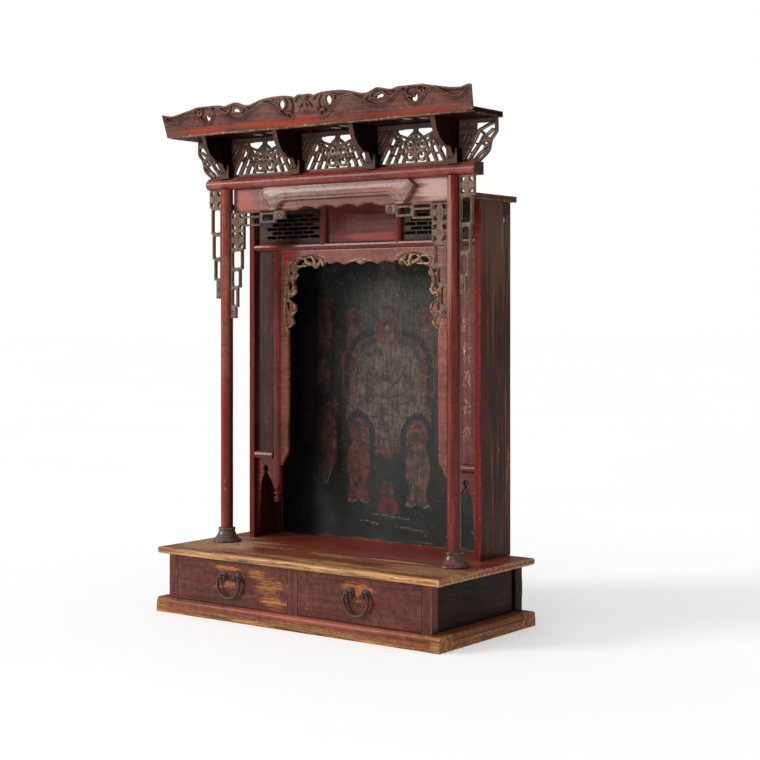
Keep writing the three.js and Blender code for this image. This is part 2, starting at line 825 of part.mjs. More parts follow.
// Pierced frieze panels: diagonal blades at the sides, a knot of loops in the middle.
function friezePanel(name, x0, x1) {
  const middle = (x0 + x1) / 2;
  const half = (x1 - x0) / 2 - CUP_HALF_X - GAP;
  const wide = (x1 - x0) / 2 - BRACKET_T / 2 - GAP;
  const low = BEAM_TOP + BEAM_FILLET + GAP;
  const high = ROOF_LOW - GAP;
  const shoulder = seatZ + CUP_H + GAP;
  const right = [[half, low], [half, shoulder], [wide, shoulder], [wide, high]];
  const gaps = [[11, high - FRIEZE_RAIL], [37, high - FRIEZE_RAIL], [31, high - 23], [16, high - 29]];
  const rightHoles = [
    gaps,
    ring(19, low + 50, 8.5, 11, 7),
    ring(19, low + 25, 8.5, 10, 7),
    ring(42, low + 43, 7, 10, 6),
    slot([33, low + 12], [49, low + 27], 7),
    slot([51, low + 10], [74, low + 40], 8),
    slot([66, low + 10], [88, low + 36], 7),
    slot([58, low + 46], [72, low + 72], 8),
  ];
  const points = right.concat(mirrored(right));
  const geometry = plate(points, FRIEZE_T, bothSides(rightHoles));
  portico.add(mesh(name, geometry, CARVED, [middle, FRIEZE_FRONT, 0]));
}

friezePanel('frieze_panel_left', cupPlaces[0], cupPlaces[1]);
friezePanel('frieze_panel_middle', cupPlaces[1], cupPlaces[2]);
friezePanel('frieze_panel_right', cupPlaces[2], cupPlaces[3]);

function friezeWing(label, side) {
  const start = POST_X + CUP_HALF_X + GAP;
  const under = POST_X + BRACKET_T / 2 + GAP;
  const low = BEAM_TOP + BEAM_FILLET + GAP;
  const high = ROOF_LOW - GAP;
  const shoulder = seatZ + CUP_H + GAP;
  const edge = spline([
    [BEAM_HALF_X - 1, low],
    [BEAM_HALF_X + 24, low + 22],
    [BEAM_HALF_X + 31, low + 46],
    [BEAM_HALF_X + 45, low + 64],
    [ROOF_HALF_X - 1, low + 76],
    [ROOF_HALF_X - 2, high],
  ], 12);
  const points = [[under, high], [under, shoulder], [start, shoulder], [start, low]].concat(edge);
  const holes = [
    [
      [start + 42, high - 9],
      [ROOF_HALF_X - 9, high - 9],
      [ROOF_HALF_X - 12, high - 18],
      [start + 62, high - 27],
    ],
    ring(start + 66, low + 44, 8, 9, 7),
    slot([start + 36, low + 44], [start + 52, low + 62], 9),
    slot([start + 10, low + 9], [start + 32, low + 34], 8),
    slot([start + 26, low + 9], [start + 54, low + 36], 8),
    slot([start + 16, low + 44], [start + 34, low + 76], 8),
  ];
  const turn = (list) => (side > 0 ? list : mirrored(list));
  const geometry = plate(turn(points), FRIEZE_T, holes.map(turn));
  portico.add(mesh(`frieze_wing_${label}`, geometry, CARVED, [0, FRIEZE_FRONT, 0]));
}

friezeWing('left', -1);
friezeWing('right', 1);

// Roof board.
portico.add(mesh(
  'roof_board',
  block(-ROOF_HALF_X, ROOF_HALF_X, CREST_FRONT + CREST_T + 2 * GAP, ROOF_BACK, ROOF_LOW, ROOF_LOW + ROOF_T),
  RED_DARK,
));

// Crest: half of the waved top edge and half of the raised line below it, from the middle outwards.
// The heights are measured down from the highest point.
const CREST_TOP = [
  [0, 2.5],
  [16, 1.2],
  [29, 6],
  [46, 2],
  [72, 0],
  [112, 1],
  [140, 5],
  [168, 12],
  [188, 12.5],
  [203, 8],
  [216, 4],
  [232, 6],
  [256, 10.5],
  [272, 7],
  [300, 6.5],
  [330, 6.5],
  [348, 7],
  [366, 11],
  [384, 14],
  [412, 19],
  [440, 21.5],
  [456, 19],
  [470, 16.5],
];
const CREST_LINE = [
  [46, 60],
  [68, 50],
  [92, 28],
  [130, 16],
  [170, 32],
  [218, 48],
  [250, 38],
  [288, 17],
  [318, 49],
  [345, 36],
  [371, 20],
  [400, 32],
  [432, 44],
  [455, 36],
  [463, 19],
];
const crestLow = ROOF_LOW + 1;
const crestRise = HEIGHT - crestLow;

function crestGeometry() {
  const right = spline(CREST_TOP.map(([x, drop]) => [x, crestRise - drop]), 42);
  const foot = [[CREST_FOOT_HALF_X, 0], [-CREST_FOOT_HALF_X, 0]];
  const left = mirrored(right).slice(0, -1);
  const points = left.concat(right, foot);
  const holes = bothSides([
    ring(72, crestRise - 20, 9.5, 10.5, 9, 0.4),
    ring(218, crestRise - 26, 11, 6, 8, 0.2),
    ring(316, crestRise - 33, 6.5, 7.5, 8, 0),
    ring(341, crestRise - 22, 3.2, 4, 6, 0),
  ]);
  let body = solid(plate(points, CREST_T, holes));
  const line = spline(CREST_LINE.map(([x, drop]) => [x, crestRise - drop]), 28);
  for (const side of [line, mirrored(line)]) {
    const strip = plate(band(side, CREST_BEAD), CREST_BEAD_PROUD + 1);
    strip.translate(0, -CREST_BEAD_PROUD, 0);
    body = body.add(solid(strip));
  }
  const geometry = shell(body);
  const place = geometry.attributes.position;
  const flare = WIDTH / 2 / CREST_FOOT_HALF_X - 1;
  const cornerRise = crestRise - CREST_TOP[CREST_TOP.length - 1][1];
  for (let i = 0; i < place.count; i += 1) {
    const up = place.getZ(i);
    place.setX(i, place.getX(i) * (1 + (flare * Math.min(up, cornerRise)) / cornerRise));
    place.setY(i, place.getY(i) - CREST_LEAN * up);
  }
  geometry.computeVertexNormals();
  return geometry;
}

portico.add(mesh('crest', crestGeometry(), RED_WORN, [0, CREST_FRONT, crestLow]));

// Shrine box.
const box = new THREE.Group();
box.name = 'shrine_box';
const boxLow = TABLE_TOP + GAP;
const boxHigh = BOX_TOP_LOW - GAP;
const boxInner = BOX_HALF_X - BOX_SIDE_T;
const battenFront = frameBack - BATTEN_W;
const battenLow = BOX_TOP_LOW - BATTEN_H;

function boxSide(label, side) {
  const profile = [
    [BOX_FRONT, boxLow],
    [frameBack, boxLow],
    [frameBack, battenLow - GAP],
    [battenFront - GAP, battenLow - GAP],
    [battenFront - GAP, boxHigh],
    [BOX_FRONT, boxHigh],
  ];
  const x0 = side > 0 ? boxInner : -BOX_HALF_X;
  box.add(mesh(`box_side_${label}`, alongX(profile, x0, x0 + BOX_SIDE_T), BROWN_DARK));
}

boxSide('left', -1);
boxSide('right', 1);
box.add(mesh(
  'box_top',
  block(
    -BOX_TOP_HALF_X,
    BOX_TOP_HALF_X,
    APRON_FRONT + APRON_T + GAP,
    frameBack,
    BOX_TOP_LOW,
    BOX_TOP_LOW + BOX_TOP_T,
  ),
  TAN_WORN,
));
box.add(mesh(
  'box_batten',
  block(-BOX_HALF_X, BOX_HALF_X, battenFront, frameBack, battenLow, boxHigh),
  TAN_WORN,
));
const boxBackFace = frameBack - BOX_BACK_SET - BOX_BACK_T;
box.add(mesh(
  'box_back_painted',
  block(-boxInner + GAP, boxInner - GAP, boxBackFace, boxBackFace + BOX_BACK_T, boxLow, battenLow - GAP),
  BLUE_BLACK,
  [0, 0, 0],
  0.7,
));

// Mid rail with a rounded face, and the two short stiles above it, joined as one frame.
const midLow = MID_RAIL_Z - MID_RAIL_H / 2;
const midHigh = MID_RAIL_Z + MID_RAIL_H / 2;

// A rounded bar face: the front is a low arc and the back is flat.
function roundedFace(low, high, front, back, bulge) {
  const middle = (low + high) / 2;
  return arc(front + bulge, middle, bulge, (high - low) / 2, 270, 90, 6).concat([[back, high], [back, low]]);
}

const railHalf = boxInner - GAP;
const railBar = alongX(roundedFace(midLow, midHigh, BOX_FRONT, BOX_FRONT + FRAME_T, 6), -railHalf, railHalf);
let upperFrame = solid(railBar);
for (const side of [-1, 1]) {
  const x = side * UPPER_STILE_X;
  const plan = roundedFace(x - UPPER_STILE_W / 2, x + UPPER_STILE_W / 2, BOX_FRONT, BOX_FRONT + FRAME_T, 6);
  const stile = new THREE.ExtrudeGeometry(outline(plan.map(([y, across]) => [across, y])), {
    depth: boxHigh - MID_RAIL_Z,
    bevelEnabled: false,
  });
  stile.translate(0, 0, MID_RAIL_Z);
  upperFrame = upperFrame.add(solid(stile));
}
box.add(mesh('upper_frame', shell(upperFrame), RED_DARK));

const panelFront = BOX_FRONT + PANEL_SET_IN;
const bayInner = UPPER_STILE_X + UPPER_STILE_W / 2 + GAP;
const centreHalf = UPPER_STILE_X - UPPER_STILE_W / 2 - GAP;
box.add(mesh(
  'centre_panel',
  block(-centreHalf, centreHalf, panelFront, panelFront + PANEL_T, midHigh + GAP, boxHigh),
  RED_DARK,
));

// Lattices of brick-laid slots.
function lattice(label, side) {
  const x0 = bayInner;
  const x1 = railHalf;
  const z0 = midHigh + GAP;
  const z1 = boxHigh;
  const field = {
    x0: x0 + 5,
    x1: x1 - LATTICE_MARGIN_X,
    z0: z0 + LATTICE_MARGIN_Z,
    z1: z1 - LATTICE_MARGIN_Z,
  };
  const pitchZ = (field.z1 - field.z0) / LATTICE_ROWS;
  const pitchX = (field.x1 - field.x0) / LATTICE_SLOTS;
  const holes = [];
  for (let row = 0; row < LATTICE_ROWS; row += 1) {
    const shift = row % 2 === 0 ? 0 : pitchX / 2;
    const count = row % 2 === 0 ? LATTICE_SLOTS : LATTICE_SLOTS - 1;
    const z = field.z0 + pitchZ * (row + 0.5);
    for (let i = 0; i < count; i += 1) {
      const left = field.x0 + shift + pitchX * i + LATTICE_BAR / 2;
      const right = left + pitchX - LATTICE_BAR;
      const half = (pitchZ - LATTICE_BAR) / 2;
      holes.push(window4(left, right, z - half, z + half));
    }
  }
  const turn = (list) => (side > 0 ? list : mirrored(list));
  const geometry = plate(turn(window4(x0, x1, z0, z1)), PANEL_T, holes.map(turn));
  box.add(mesh(`lattice_${label}`, geometry, BROWN_RED, [0, panelFront, 0]));
}

lattice('left', -1);
lattice('right', 1);

// Narrow panels, small rails with the keyhole brackets below them, and hanging posts with turned ends.
const bayOuter = boxInner - GAP;
const postOuter = HANGING_POST_X + HANGING_POST_R + GAP;

function sideBay(label, side) {
  const turn = (list) => (side > 0 ? list : mirrored(list));
  const railTop = SMALL_RAIL_LOW + SMALL_RAIL_H;
  const panel = plate(turn(window4(postOuter, bayOuter, railTop + GAP, midLow - GAP)), PANEL_T);
  box.add(mesh(`narrow_panel_${label}`, panel, BROWN_RED, [0, panelFront, 0]));
  const low = SMALL_RAIL_LOW;
  const keyX = (postOuter + bayOuter) / 2;
  const keyZ = low - 26;
  const foot = low - KEYHOLE_H;
  const points = [
    [bayOuter, low + 1],
    [postOuter, low + 1],
    [postOuter, foot],
    [postOuter + 5, foot + 6],
    [postOuter + 11, foot + 19],
  ].concat(
    arc(keyX, keyZ, KEYHOLE_R, KEYHOLE_R, 245, -65, 10),
    [
      [bayOuter - 16, foot + 18],
      [bayOuter - 12, foot - 3],
      [bayOuter - 10, foot - 52],
      [bayOuter - 4, TABLE_TOP + 14],
      [bayOuter, TABLE_TOP + 9],
    ],
  );
  const board = plate(turn(points), PANEL_T);
  board.translate(0, panelFront, 0);
  const ends = side > 0 ? [postOuter, bayOuter] : [-bayOuter, -postOuter];
  const rail = alongX(roundedFace(low, railTop, BOX_FRONT, panelFront + PANEL_T, 7), ...ends);
  box.add(mesh(`small_rail_with_keyhole_${label}`, shell(solid(board).add(solid(rail))), RED_DARK));
  const r = HANGING_POST_R;
  const end = HANGING_POST_LOW;
  const high = midLow - GAP;
  const profile = [
    [0, end - FINIAL_H],
    [r * 0.5, end - FINIAL_H],
    [r * 0.85, end - FINIAL_H + 4],
    [r * 0.6, end - FINIAL_H + 8],
    [r * 1.02, end - FINIAL_H + 13],
    [r * 0.62, end - FINIAL_H + 18],
    [r * 1.02, end - FINIAL_H + 24],
    [r * 0.7, end - FINIAL_H + 29],
    [r, end],
    [r, high],
    [0, high],
  ];
  const place = [side * HANGING_POST_X, BOX_FRONT + r, 0];
  box.add(mesh(`hanging_post_${label}`, turned(profile, 14), RED_DARK, place, 0.5));
}

sideBay('left', -1);
sideBay('right', 1);

// Carved apron of the opening: scalloped in the middle, pierced leaves in the corners and down the sides.
const openHalf = HANGING_POST_X - HANGING_POST_R - GAP;
const boxApronHigh = midLow - GAP;
const boxApronLow = boxApronHigh - BOX_APRON_H;
const sideEdge = openHalf - BOX_APRON_SIDE;

function leafEdge() {
  const z = boxApronHigh;
  return [
    [104, boxApronLow + 5],
    [112, z - 30],
    [124, z - 44],
    [132, z - 36],
    [146, z - 48],
    [158, z - 40],
    [178, z - 42],
    [196, z - 44],
    [212, z - 52],
    [206, z - 64],
    [217, z - 80],
    [211, z - 104],
    [222, z - 118],
    [236, z - 126],
    [212, z - 142],
    [214, z - 158],
    [226, z - 172],
    [217, z - 188],
    [sideEdge, z - 202],
  ];
}

const leaves = leafEdge();
const boxApronRight = scallops(0, 104, 2, boxApronLow, BOX_APRON_SCALLOP, 5).slice(0, -1).concat(
  leaves,
  [
    [sideEdge - 2, boxApronHigh - 240],
    [sideEdge, BOX_APRON_LOW + 46],
    [sideEdge + 3, BOX_APRON_LOW + 28],
    [sideEdge + 12, BOX_APRON_LOW + 20],
    [openHalf - 4, BOX_APRON_LOW],
    [openHalf, BOX_APRON_LOW],
    [openHalf, boxApronHigh],
  ],
);
const boxApronHoles = bothSides([
  ring(197, boxApronHigh - 31, 14, 6.5, 8, -0.35),
  ring(166, boxApronHigh - 26, 9, 5, 7, 0.3),
  ring(143, boxApronHigh - 27, 7, 4.5, 6, 0.9),
  ring(231, boxApronHigh - 90, 6.5, 15, 8, 0.12),
  ring(238, boxApronHigh - 144, 5, 13, 7, -0.2),
]);
const boxApronPoints = boxApronRight.slice(1).concat(mirrored(boxApronRight));
box.add(mesh(
  'box_apron_carved',
  plate(boxApronPoints, BOX_APRON_T, boxApronHoles),
  RED_FADED,
  [0, BOX_FRONT + 7, 0],
));

const cabinet = new THREE.Group();
cabinet.name = 'household_altar_cabinet';
cabinet.add(base, drawer(-1, 'left'), drawer(1, 'right'), portico, box);

export default cabinet;
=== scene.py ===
import math

import bmesh
import bpy
import numpy as np
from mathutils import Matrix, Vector


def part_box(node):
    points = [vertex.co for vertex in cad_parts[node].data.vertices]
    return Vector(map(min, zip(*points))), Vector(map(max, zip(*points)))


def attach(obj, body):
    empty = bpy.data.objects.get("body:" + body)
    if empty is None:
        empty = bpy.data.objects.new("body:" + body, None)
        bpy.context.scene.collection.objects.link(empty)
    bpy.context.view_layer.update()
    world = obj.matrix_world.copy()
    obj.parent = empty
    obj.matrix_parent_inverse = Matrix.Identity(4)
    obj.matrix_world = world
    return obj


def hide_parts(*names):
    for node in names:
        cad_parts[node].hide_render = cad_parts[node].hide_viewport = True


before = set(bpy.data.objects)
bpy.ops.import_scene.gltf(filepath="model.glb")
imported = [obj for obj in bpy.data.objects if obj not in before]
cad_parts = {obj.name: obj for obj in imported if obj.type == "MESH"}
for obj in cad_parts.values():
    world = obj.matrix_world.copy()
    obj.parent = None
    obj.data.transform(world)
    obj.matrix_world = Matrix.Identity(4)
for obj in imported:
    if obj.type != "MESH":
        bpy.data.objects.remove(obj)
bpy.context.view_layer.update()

MM = 0.001

# Driving sizes of the cabinet in millimetres.
GAP = 0.3
HEIGHT = 1280
HALF_WIDTH = 475
TABLE_TOP = 163
POST_X, POST_Y, POST_R = 354.5, -28, 16
BEAM_HALF_X, BEAM_FRONT, BEAM_BACK, BEAM_LOW, BEAM_TOP = 419, -40, 0, 1073, 1100
APRON_FRONT, APRON_T, APRON_H = -20, 12, 60
FRET_FRONT, FRET_T, FRET_BAR = -32, 9, 5
FRIEZE_FRONT, FRIEZE_T, FRIEZE_LOW = -20, 10, 1103.3
ROOF_HALF_X, ROOF_LOW = 467, 1203.5
CREST_FRONT, CREST_T, CREST_LEAN, CREST_FOOT = -130, 10, 0.27, 470
CREST_LOW = ROOF_LOW + 1
BOX_FRONT, BOX_APRON_FRONT, BOX_APRON_T = 70, 77, 9
HANGING_X, HANGING_R, HANGING_LOW, FINIAL_H, BELL_H = 274, 11, 296, 36, 36
BOX_HALF_X, BOX_SIDE_T, RAIL_LOW, SMALL_RAIL_TOP = 363, 16, 916, 392
PAINTED_FRONT, PAINTED_BACK, PAINTED_HALF_X, PAINTED_TOP = 192.5, 202.5, 346.4, 990
CUPS = (-POST_X, -118, 118, POST_X)
CUP_REACH, BRACKET_REACH = 15.3, 6.8
FRIEZE_H, FRIEZE_SHOULDER, FRIEZE_FOOT = 99.9, 32.4, 8.2
PULL_X, PULL_HALF, PULL_Z, DRAWER_FACE = 196.125, 23, 107, -189
EYE_OUT = 9.3
SIDES = (("left", -1), ("right", 1))


# Colours and node graphs.
def linear(colour):
    """Linear form of a display colour of three values from 0 to 255; anything else stays as it is."""
    if not isinstance(colour, tuple) or len(colour) != 3:
        return colour
    return tuple(
        c / 255 / 12.92 if c <= 10.3 else ((c / 255 + 0.055) / 1.055) ** 2.4 for c in colour) + (1.0,)


def shade(colour, share):
    return tuple(min(255, c * share) for c in colour)


class Graph:
    """A material's node graph, built from short calls."""

    def __init__(self, name):
        self.material = bpy.data.materials.new(name)
        self.material.use_nodes = True
        self.tree = self.material.node_tree
        self.tree.nodes.clear()
        self.output = self.tree.nodes.new("ShaderNodeOutputMaterial")
        self.shader = self.tree.nodes.new("ShaderNodeBsdfPrincipled")
        self.tree.links.new(self.shader.outputs[0], self.output.inputs[0])
        self.place = self.add("ShaderNodeTexCoord").outputs["Object"]
        self.count = 0

    def add(self, kind, values=None, **settings):
        node = self.tree.nodes.new(kind)
        for key, value in settings.items():
            setattr(node, key, value)
        for key, value in (values or {}).items():
            self.put(node.inputs[key], value)
        return node

    def put(self, socket, value):
        if isinstance(value, bpy.types.NodeSocket):
            self.tree.links.new(value, socket)
        else:
            socket.default_value = value

    def math(self, kind, a, b=0.0, c=0.0, clamp=False):
        return self.add("ShaderNodeMath", {0: a, 1: b, 2: c}, operation=kind, use_clamp=clamp).outputs[0]

    def times(self, a, b):
        return self.math("MULTIPLY", a, b)

    def blend(self, a, share_a, b, share_b):
        return self.math("ADD", self.times(a, share_a), self.times(b, share_b))

    def sway(self, noise, gain, base, clamp=False):
        """A value that a noise moves up and down."""
        return self.math("MULTIPLY_ADD", self.math("SUBTRACT", noise, 0.5), gain, base, clamp)

    def vector(self, kind, a, b=(0, 0, 0)):
        node = self.add("ShaderNodeVectorMath", {0: a, 1: b}, operation=kind)
        return node.outputs["Value"] if kind in ("LENGTH", "DOT_PRODUCT") else node.outputs[0]

    def noise(self, stretch, detail=4.0, rough=0.55, bend=0.0):
        """Noise from 0 to 1; stretch is its frequency per metre along each axis."""
        self.count += 1
        shift = (self.count * 3.17, self.count * 1.71, self.count * 2.39)
        at = self.vector("MULTIPLY_ADD", self.place, stretch)
        self.put(at.node.inputs[2], shift)
        values = {"Vector": at, "Scale": 1.0, "Detail": detail, "Roughness": rough, "Distortion": bend}
        return self.add("ShaderNodeTexNoise", values).outputs[0]

    def span(self, value, low, high, to_low=0.0, to_high=1.0):
        values = {"Value": value, "From Min": low, "From Max": high, "To Min": to_low, "To Max": to_high}
        return self.add("ShaderNodeMapRange", values, interpolation_type="SMOOTHSTEP", clamp=True).outputs[0]

    def mix(self, share, a, b, kind="MIX"):
        values = {0: share, 6: linear(a), 7: linear(b)}
        return self.add("ShaderNodeMix", values, data_type="RGBA", blend_type=kind).outputs[2]

    def ramp(self, value, *stops):
        node = self.add("ShaderNodeValToRGB", {0: value})
        ramp = node.color_ramp
        while len(ramp.elements) < len(stops):
            ramp.elements.new(0.5)
        for element, (at, colour) in zip(ramp.elements, stops):
            element.position = at
            element.color = linear(colour)
        return node.outputs[0]

    def attribute(self, name):
        return self.add("ShaderNodeAttribute", attribute_name=name, attribute_type="GEOMETRY").outputs["Fac"]

    def box_edge(self, low, high):
        """Distance in metres from a point on a box to the box's nearest edge."""
        near = self.vector(
            "MINIMUM", self.vector("SUBTRACT", self.place, low), self.vector("SUBTRACT", high, self.place))
        x, y, z = self.add("ShaderNodeSeparateXYZ", {0: near}).outputs
        smaller, larger = self.math("MINIMUM", x, y), self.math("MAXIMUM", x, y)
        return self.math("MAXIMUM", smaller, self.math("MINIMUM", larger, z))

    def spot(self, centre, radii):
        """1 in the middle of an ellipsoid, falling to 0 at its surface; millimetres."""
        away = self.vector("SUBTRACT", self.place, tuple(c * MM for c in centre))
        scaled = self.vector("DIVIDE", away, tuple(r * MM for r in radii))
        return self.math("SUBTRACT", 1.0, self.vector("LENGTH", scaled), clamp=True)

    def normal(self):
        return self.add("ShaderNodeNewGeometry").outputs["True Normal"]

    def surface(self, colour, rough, lift=None, strength=0.5, depth=0.0, **plain):
        """Sets colour, roughness, relief and the shader's plain values, whose names have _ for a space."""
        self.put(self.shader.inputs["Base Color"], colour)
        self.put(self.shader.inputs["Roughness"], rough)
        if lift:
            relief = self.add("ShaderNodeBump", {"Strength": strength, "Distance": depth, "Height": lift})
            self.put(self.shader.inputs["Normal"], relief.outputs[0])
        for key, value in plain.items():
            self.shader.inputs[key.replace("_", " ")].default_value = value
        return self.material


def grained(axis, across, along):
    """Noise frequencies with the fibres along one axis."""
    return tuple(along if a == axis else across for a in "XYZ")


def lacquer(
    name, tones, wood=(176, 118, 62), under=(120, 66, 34), axis="X", edge=None, edge_wide=4.0, edge_wear=0.6,
    wear=0.0, patches=(), flecks=0.1, glow=(0.34, 0.6), coat=0.04, spec=0.13, cloud=7.0, streak=0.5, dirt=0.5,
    bump=0.35, blotch=0.7, scratches=0.0, border=0.0, tints=(), faces=()
):
    """Old lacquer over wood: clouded colour, worn edges and patches down to the grain, and fine flecks.

    tones are the main, deep and bright colours. edge is a box whose edges are rubbed, or "attribute".
    Patches are bared ellipsoids, tints coloured ones, and faces tint what looks in one direction; some
    finishes use tints and faces for painted highlights, sheen and shade."""
    main, deep, bright = tones
    g = Graph(name)
    clouds = g.noise((cloud, cloud, cloud), 5, 0.6)
    streaks = g.noise(grained(axis, 120, 5), 4, 0.6, 0.4)
    fibres = g.noise(grained(axis, 620, 22), 3, 0.6)
    chips = g.noise(grained(axis, 210, 60), 5, 0.65, 0.6)
    tone = g.blend(clouds, 1 - streak, streaks, streak)
    paint = g.ramp(tone, (0.34, deep), (0.5, main), (0.66, bright))
    paint = g.mix(g.span(fibres, 0.55, 0.75, 0, 0.35), paint, deep)
    mottle = g.noise((75, 75, 75), 6, 0.74)
    stain = g.ramp(mottle, (0.34, (0.42, 0.40, 0.40, 1)), (0.56, (1, 1, 1, 1)))
    paint = g.mix(blotch, paint, stain, "MULTIPLY")
    for colour, centre, radii, strength, *ragged in tints:
        drawn = g.sway(streaks, ragged[0] if ragged else 0.9, g.spot(centre, radii))
        paint = g.mix(g.span(drawn, 0.12, 0.6, 0, strength), paint, colour)
    # Tints by facing direction: the posts, roof board and brackets use them for painted shade and lighter lit
    # sides, and the box sides for their red front edges.
    for colour, direction, strength in faces:
        facing = g.span(g.vector("DOT_PRODUCT", g.normal(), direction), 0.35, 0.6, 0, strength)
        rubbed = g.span(g.blend(mottle, 0.5, streaks, 0.5), 0.36, 0.52, 0.35, 1.0)
        paint = g.mix(g.times(facing, rubbed), paint, colour)
    worn = g.sway(streaks, 0.9, g.sway(chips, 1.5, wear))
    if edge == "attribute":
        worn = g.math("MULTIPLY_ADD", g.attribute("wear"), edge_wear, worn)
    elif edge:
        near = g.span(g.box_edge(*edge), 0.0, edge_wide * MM, 1, 0)
        worn = g.math("MULTIPLY_ADD", near, edge_wear, worn)
    for centre, radii, strength in patches:
        worn = g.math("MULTIPLY_ADD", g.spot(centre, radii), strength, worn)
    grain = g.blend(fibres, 0.55, streaks, 0.45)
    timber = g.ramp(grain, (0.4, shade(wood, 0.36)), (0.49, shade(wood, 0.8)), (0.62, shade(wood, 1.12)))
    colour = g.mix(g.span(worn, 0.36, 0.52), paint, under)
    colour = g.mix(g.span(worn, 0.5, 0.68), colour, timber)
    specks = g.noise((430, 430, 430), 2, 0.5)
    colour = g.mix(g.span(specks, 0.68, 0.74, 0, flecks), colour, shade(wood, 1.1))
    if scratches:
        hair = g.noise((460, 460, 90), 3, 0.55, 0.8)
        colour = g.mix(g.span(hair, 0.67, 0.73, 0, scratches), colour, wood)
    dark = g.noise(grained(axis, 300, 80), 3, 0.7)
    colour = g.mix(g.span(dark, 0.62, 0.78, 0, dirt * 0.7), colour, (28, 18, 14))
    # Carved boards: the hollows darken, for grime and painted shade.
    if edge == "attribute":
        colour = g.mix(g.span(g.attribute("dirt"), 0.1, 1.0, 0, dirt), colour, (34, 22, 18))
    if border:
        rim = g.span(g.box_edge(*edge), 0.9 * MM, 2.3 * MM, border, 0)
        colour = g.mix(rim, colour, (24, 15, 12))
    rough = g.sway(chips, 0.35, g.span(worn, 0.3, 0.65, glow[0], glow[1]), True)
    lift = g.math("MULTIPLY_ADD", fibres, 0.5, g.times(chips, 0.35))
    lift = g.math("MULTIPLY_ADD", g.span(worn, 0.36, 0.56), -0.5, lift)
    return g.surface(
        colour, rough, lift, bump, 0.0011, Specular_IOR_Level=spec, Coat_Weight=coat, Coat_Roughness=0.25)


def carved_lacquer(name, tones, **look):
    """Lacquer of a carved board: worn, dirty, and darkened in its hollows by grime and painted shade, where
    the carving says so.
    """
    return lacquer(name, tones, edge="attribute", **look)


# Meshes.
def make_object(name, node, points, faces, material, slot, sharp, fields=None, body="cabinet"):
    """A mesh in millimetres that takes the place of one CAD node."""
    mesh = bpy.data.meshes.new(name)
    mesh.from_pydata((np.asarray(points) * MM).tolist(), [], [tuple(f) for f in faces])
    shell = bmesh.new()
    shell.from_mesh(mesh)
    bmesh.ops.recalc_face_normals(shell, faces=shell.faces)
    shell.to_mesh(mesh)
    shell.free()
    for key, values in (fields or {}).items():
        layer = mesh.attributes.new(key, "FLOAT", "POINT")
        layer.data.foreach_set("value", np.asarray(values, np.float32))
    mesh.polygons.foreach_set("use_smooth", [True] * len(mesh.polygons))
    mesh.set_sharp_from_angle(angle=math.radians(sharp))
    mesh.materials.append(material)
    made = bpy.data.objects.new(name, mesh)
    bpy.context.scene.collection.objects.link(made)
    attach(made, body)
    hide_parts(node)


def polygon_distance(px, pz, points):
    """Distance to a polygon's outline, positive inside it."""
    points = np.asarray(points, float)
    best = np.full(px.shape, 1e12)
    inside = np.zeros(px.shape, bool)
    for (ax, az), (bx, bz) in zip(points, np.roll(points, -1, 0)):
        ex, ez = bx - ax, bz - az
        length = ex * ex + ez * ez
        if length < 1e-12:
            continue
        wx, wz = px - ax, pz - az
        t = np.clip((wx * ex + wz * ez) / length, 0, 1)
        best = np.minimum(best, (wx - ex * t) ** 2 + (wz - ez * t) ** 2)
        crosses = (az > pz) != (bz > pz)
        if ez:
            inside ^= crosses & (px < ex * wz / ez + ax)
    return np.where(inside, 1, -1) * np.sqrt(best)


def stroke_distance(px, pz, points, radii):
    """Local radius less the distance to a line: positive inside the stroke."""
    best = np.full(px.shape, -1e6)
    for i in range(len(points) - 1):
        (ax, az), (bx, bz) = points[i], points[i + 1]
        ex, ez = bx - ax, bz - az
        length = max(ex * ex + ez * ez, 1e-9)
        t = np.clip(((px - ax) * ex + (pz - az) * ez) / length, 0, 1)
        away = np.hypot(px - ax - ex * t, pz - az - ez * t)
        best = np.maximum(best, radii[i] + (radii[i + 1] - radii[i]) * t - away)
    return best


def smooth_line(points, steps=6):
    """Catmull-Rom line through the points."""
    p = np.asarray(points, float)
    if len(p) < 3:
        return p
    ends = np.vstack([2 * p[0] - p[1], p, 2 * p[-1] - p[-2]])
    out = []
    for i in range(1, len(ends) - 2):
        a, b, c, d = ends[i - 1], ends[i], ends[i + 1], ends[i + 2]
        for k in range(steps):
            t = k / steps
            out.append(0.5 * (
                2 * b + (c - a) * t + (2 * a - 5 * b + 4 * c - d) * t * t + (3 * b - a - 3 * c + d) * t ** 3))
    out.append(p[-1])
    return np.array(out)


def spiral(cx, cz, r0, r1, a0, a1, steps=18):
    """Points of a spiral from radius r0 at angle a0 to r1 at a1; degrees."""
    t = np.linspace(0, 1, steps)
    angle = np.radians(a0 + (a1 - a0) * t)
    r = r0 + (r1 - r0) * t
    return np.stack([cx + r * np.cos(angle), cz + r * np.sin(angle)], 1)


def oval(cx, cz, rx, rz, turn=0.0, steps=20):
    a = np.linspace(0, 2 * math.pi, steps, endpoint=False)
    x, z = rx * np.cos(a), rz * np.sin(a)
    c, s = math.cos(turn), math.sin(turn)
    return np.stack([cx + x * c - z * s, cz + x * s + z * c], 1)


def closed_line(points):
    return np.vstack([points, points[:1]])


def as_points(points):
    return np.asarray(points, float)


def flipped(points):
    return as_points(points) * (-1, 1)


def mirrored(points):
    """The points' mirror image, in reverse order."""
    return [tuple(p) for p in flipped(points[::-1])]


BOTH = (as_points, flipped)


def bands(rings, sides, start=0):
    """Faces of a tube through rings of equally many points, with a cap at either end."""
    faces = []
    for at in range(start, start + (rings - 1) * sides, sides):
        for k in range(sides):
            m = (k + 1) % sides
            faces.append((at + k, at + m, at + sides + m, at + sides + k))
    last = start + (rings - 1) * sides
    return faces + [tuple(reversed(range(start, start + sides))), tuple(range(last, last + sides))]


def stretched(values, count):
    """A few values drawn out evenly over a longer row."""
    values = np.atleast_1d(values)
    return np.interp(np.linspace(0, 1, count), np.linspace(0, 1, len(values)), values)


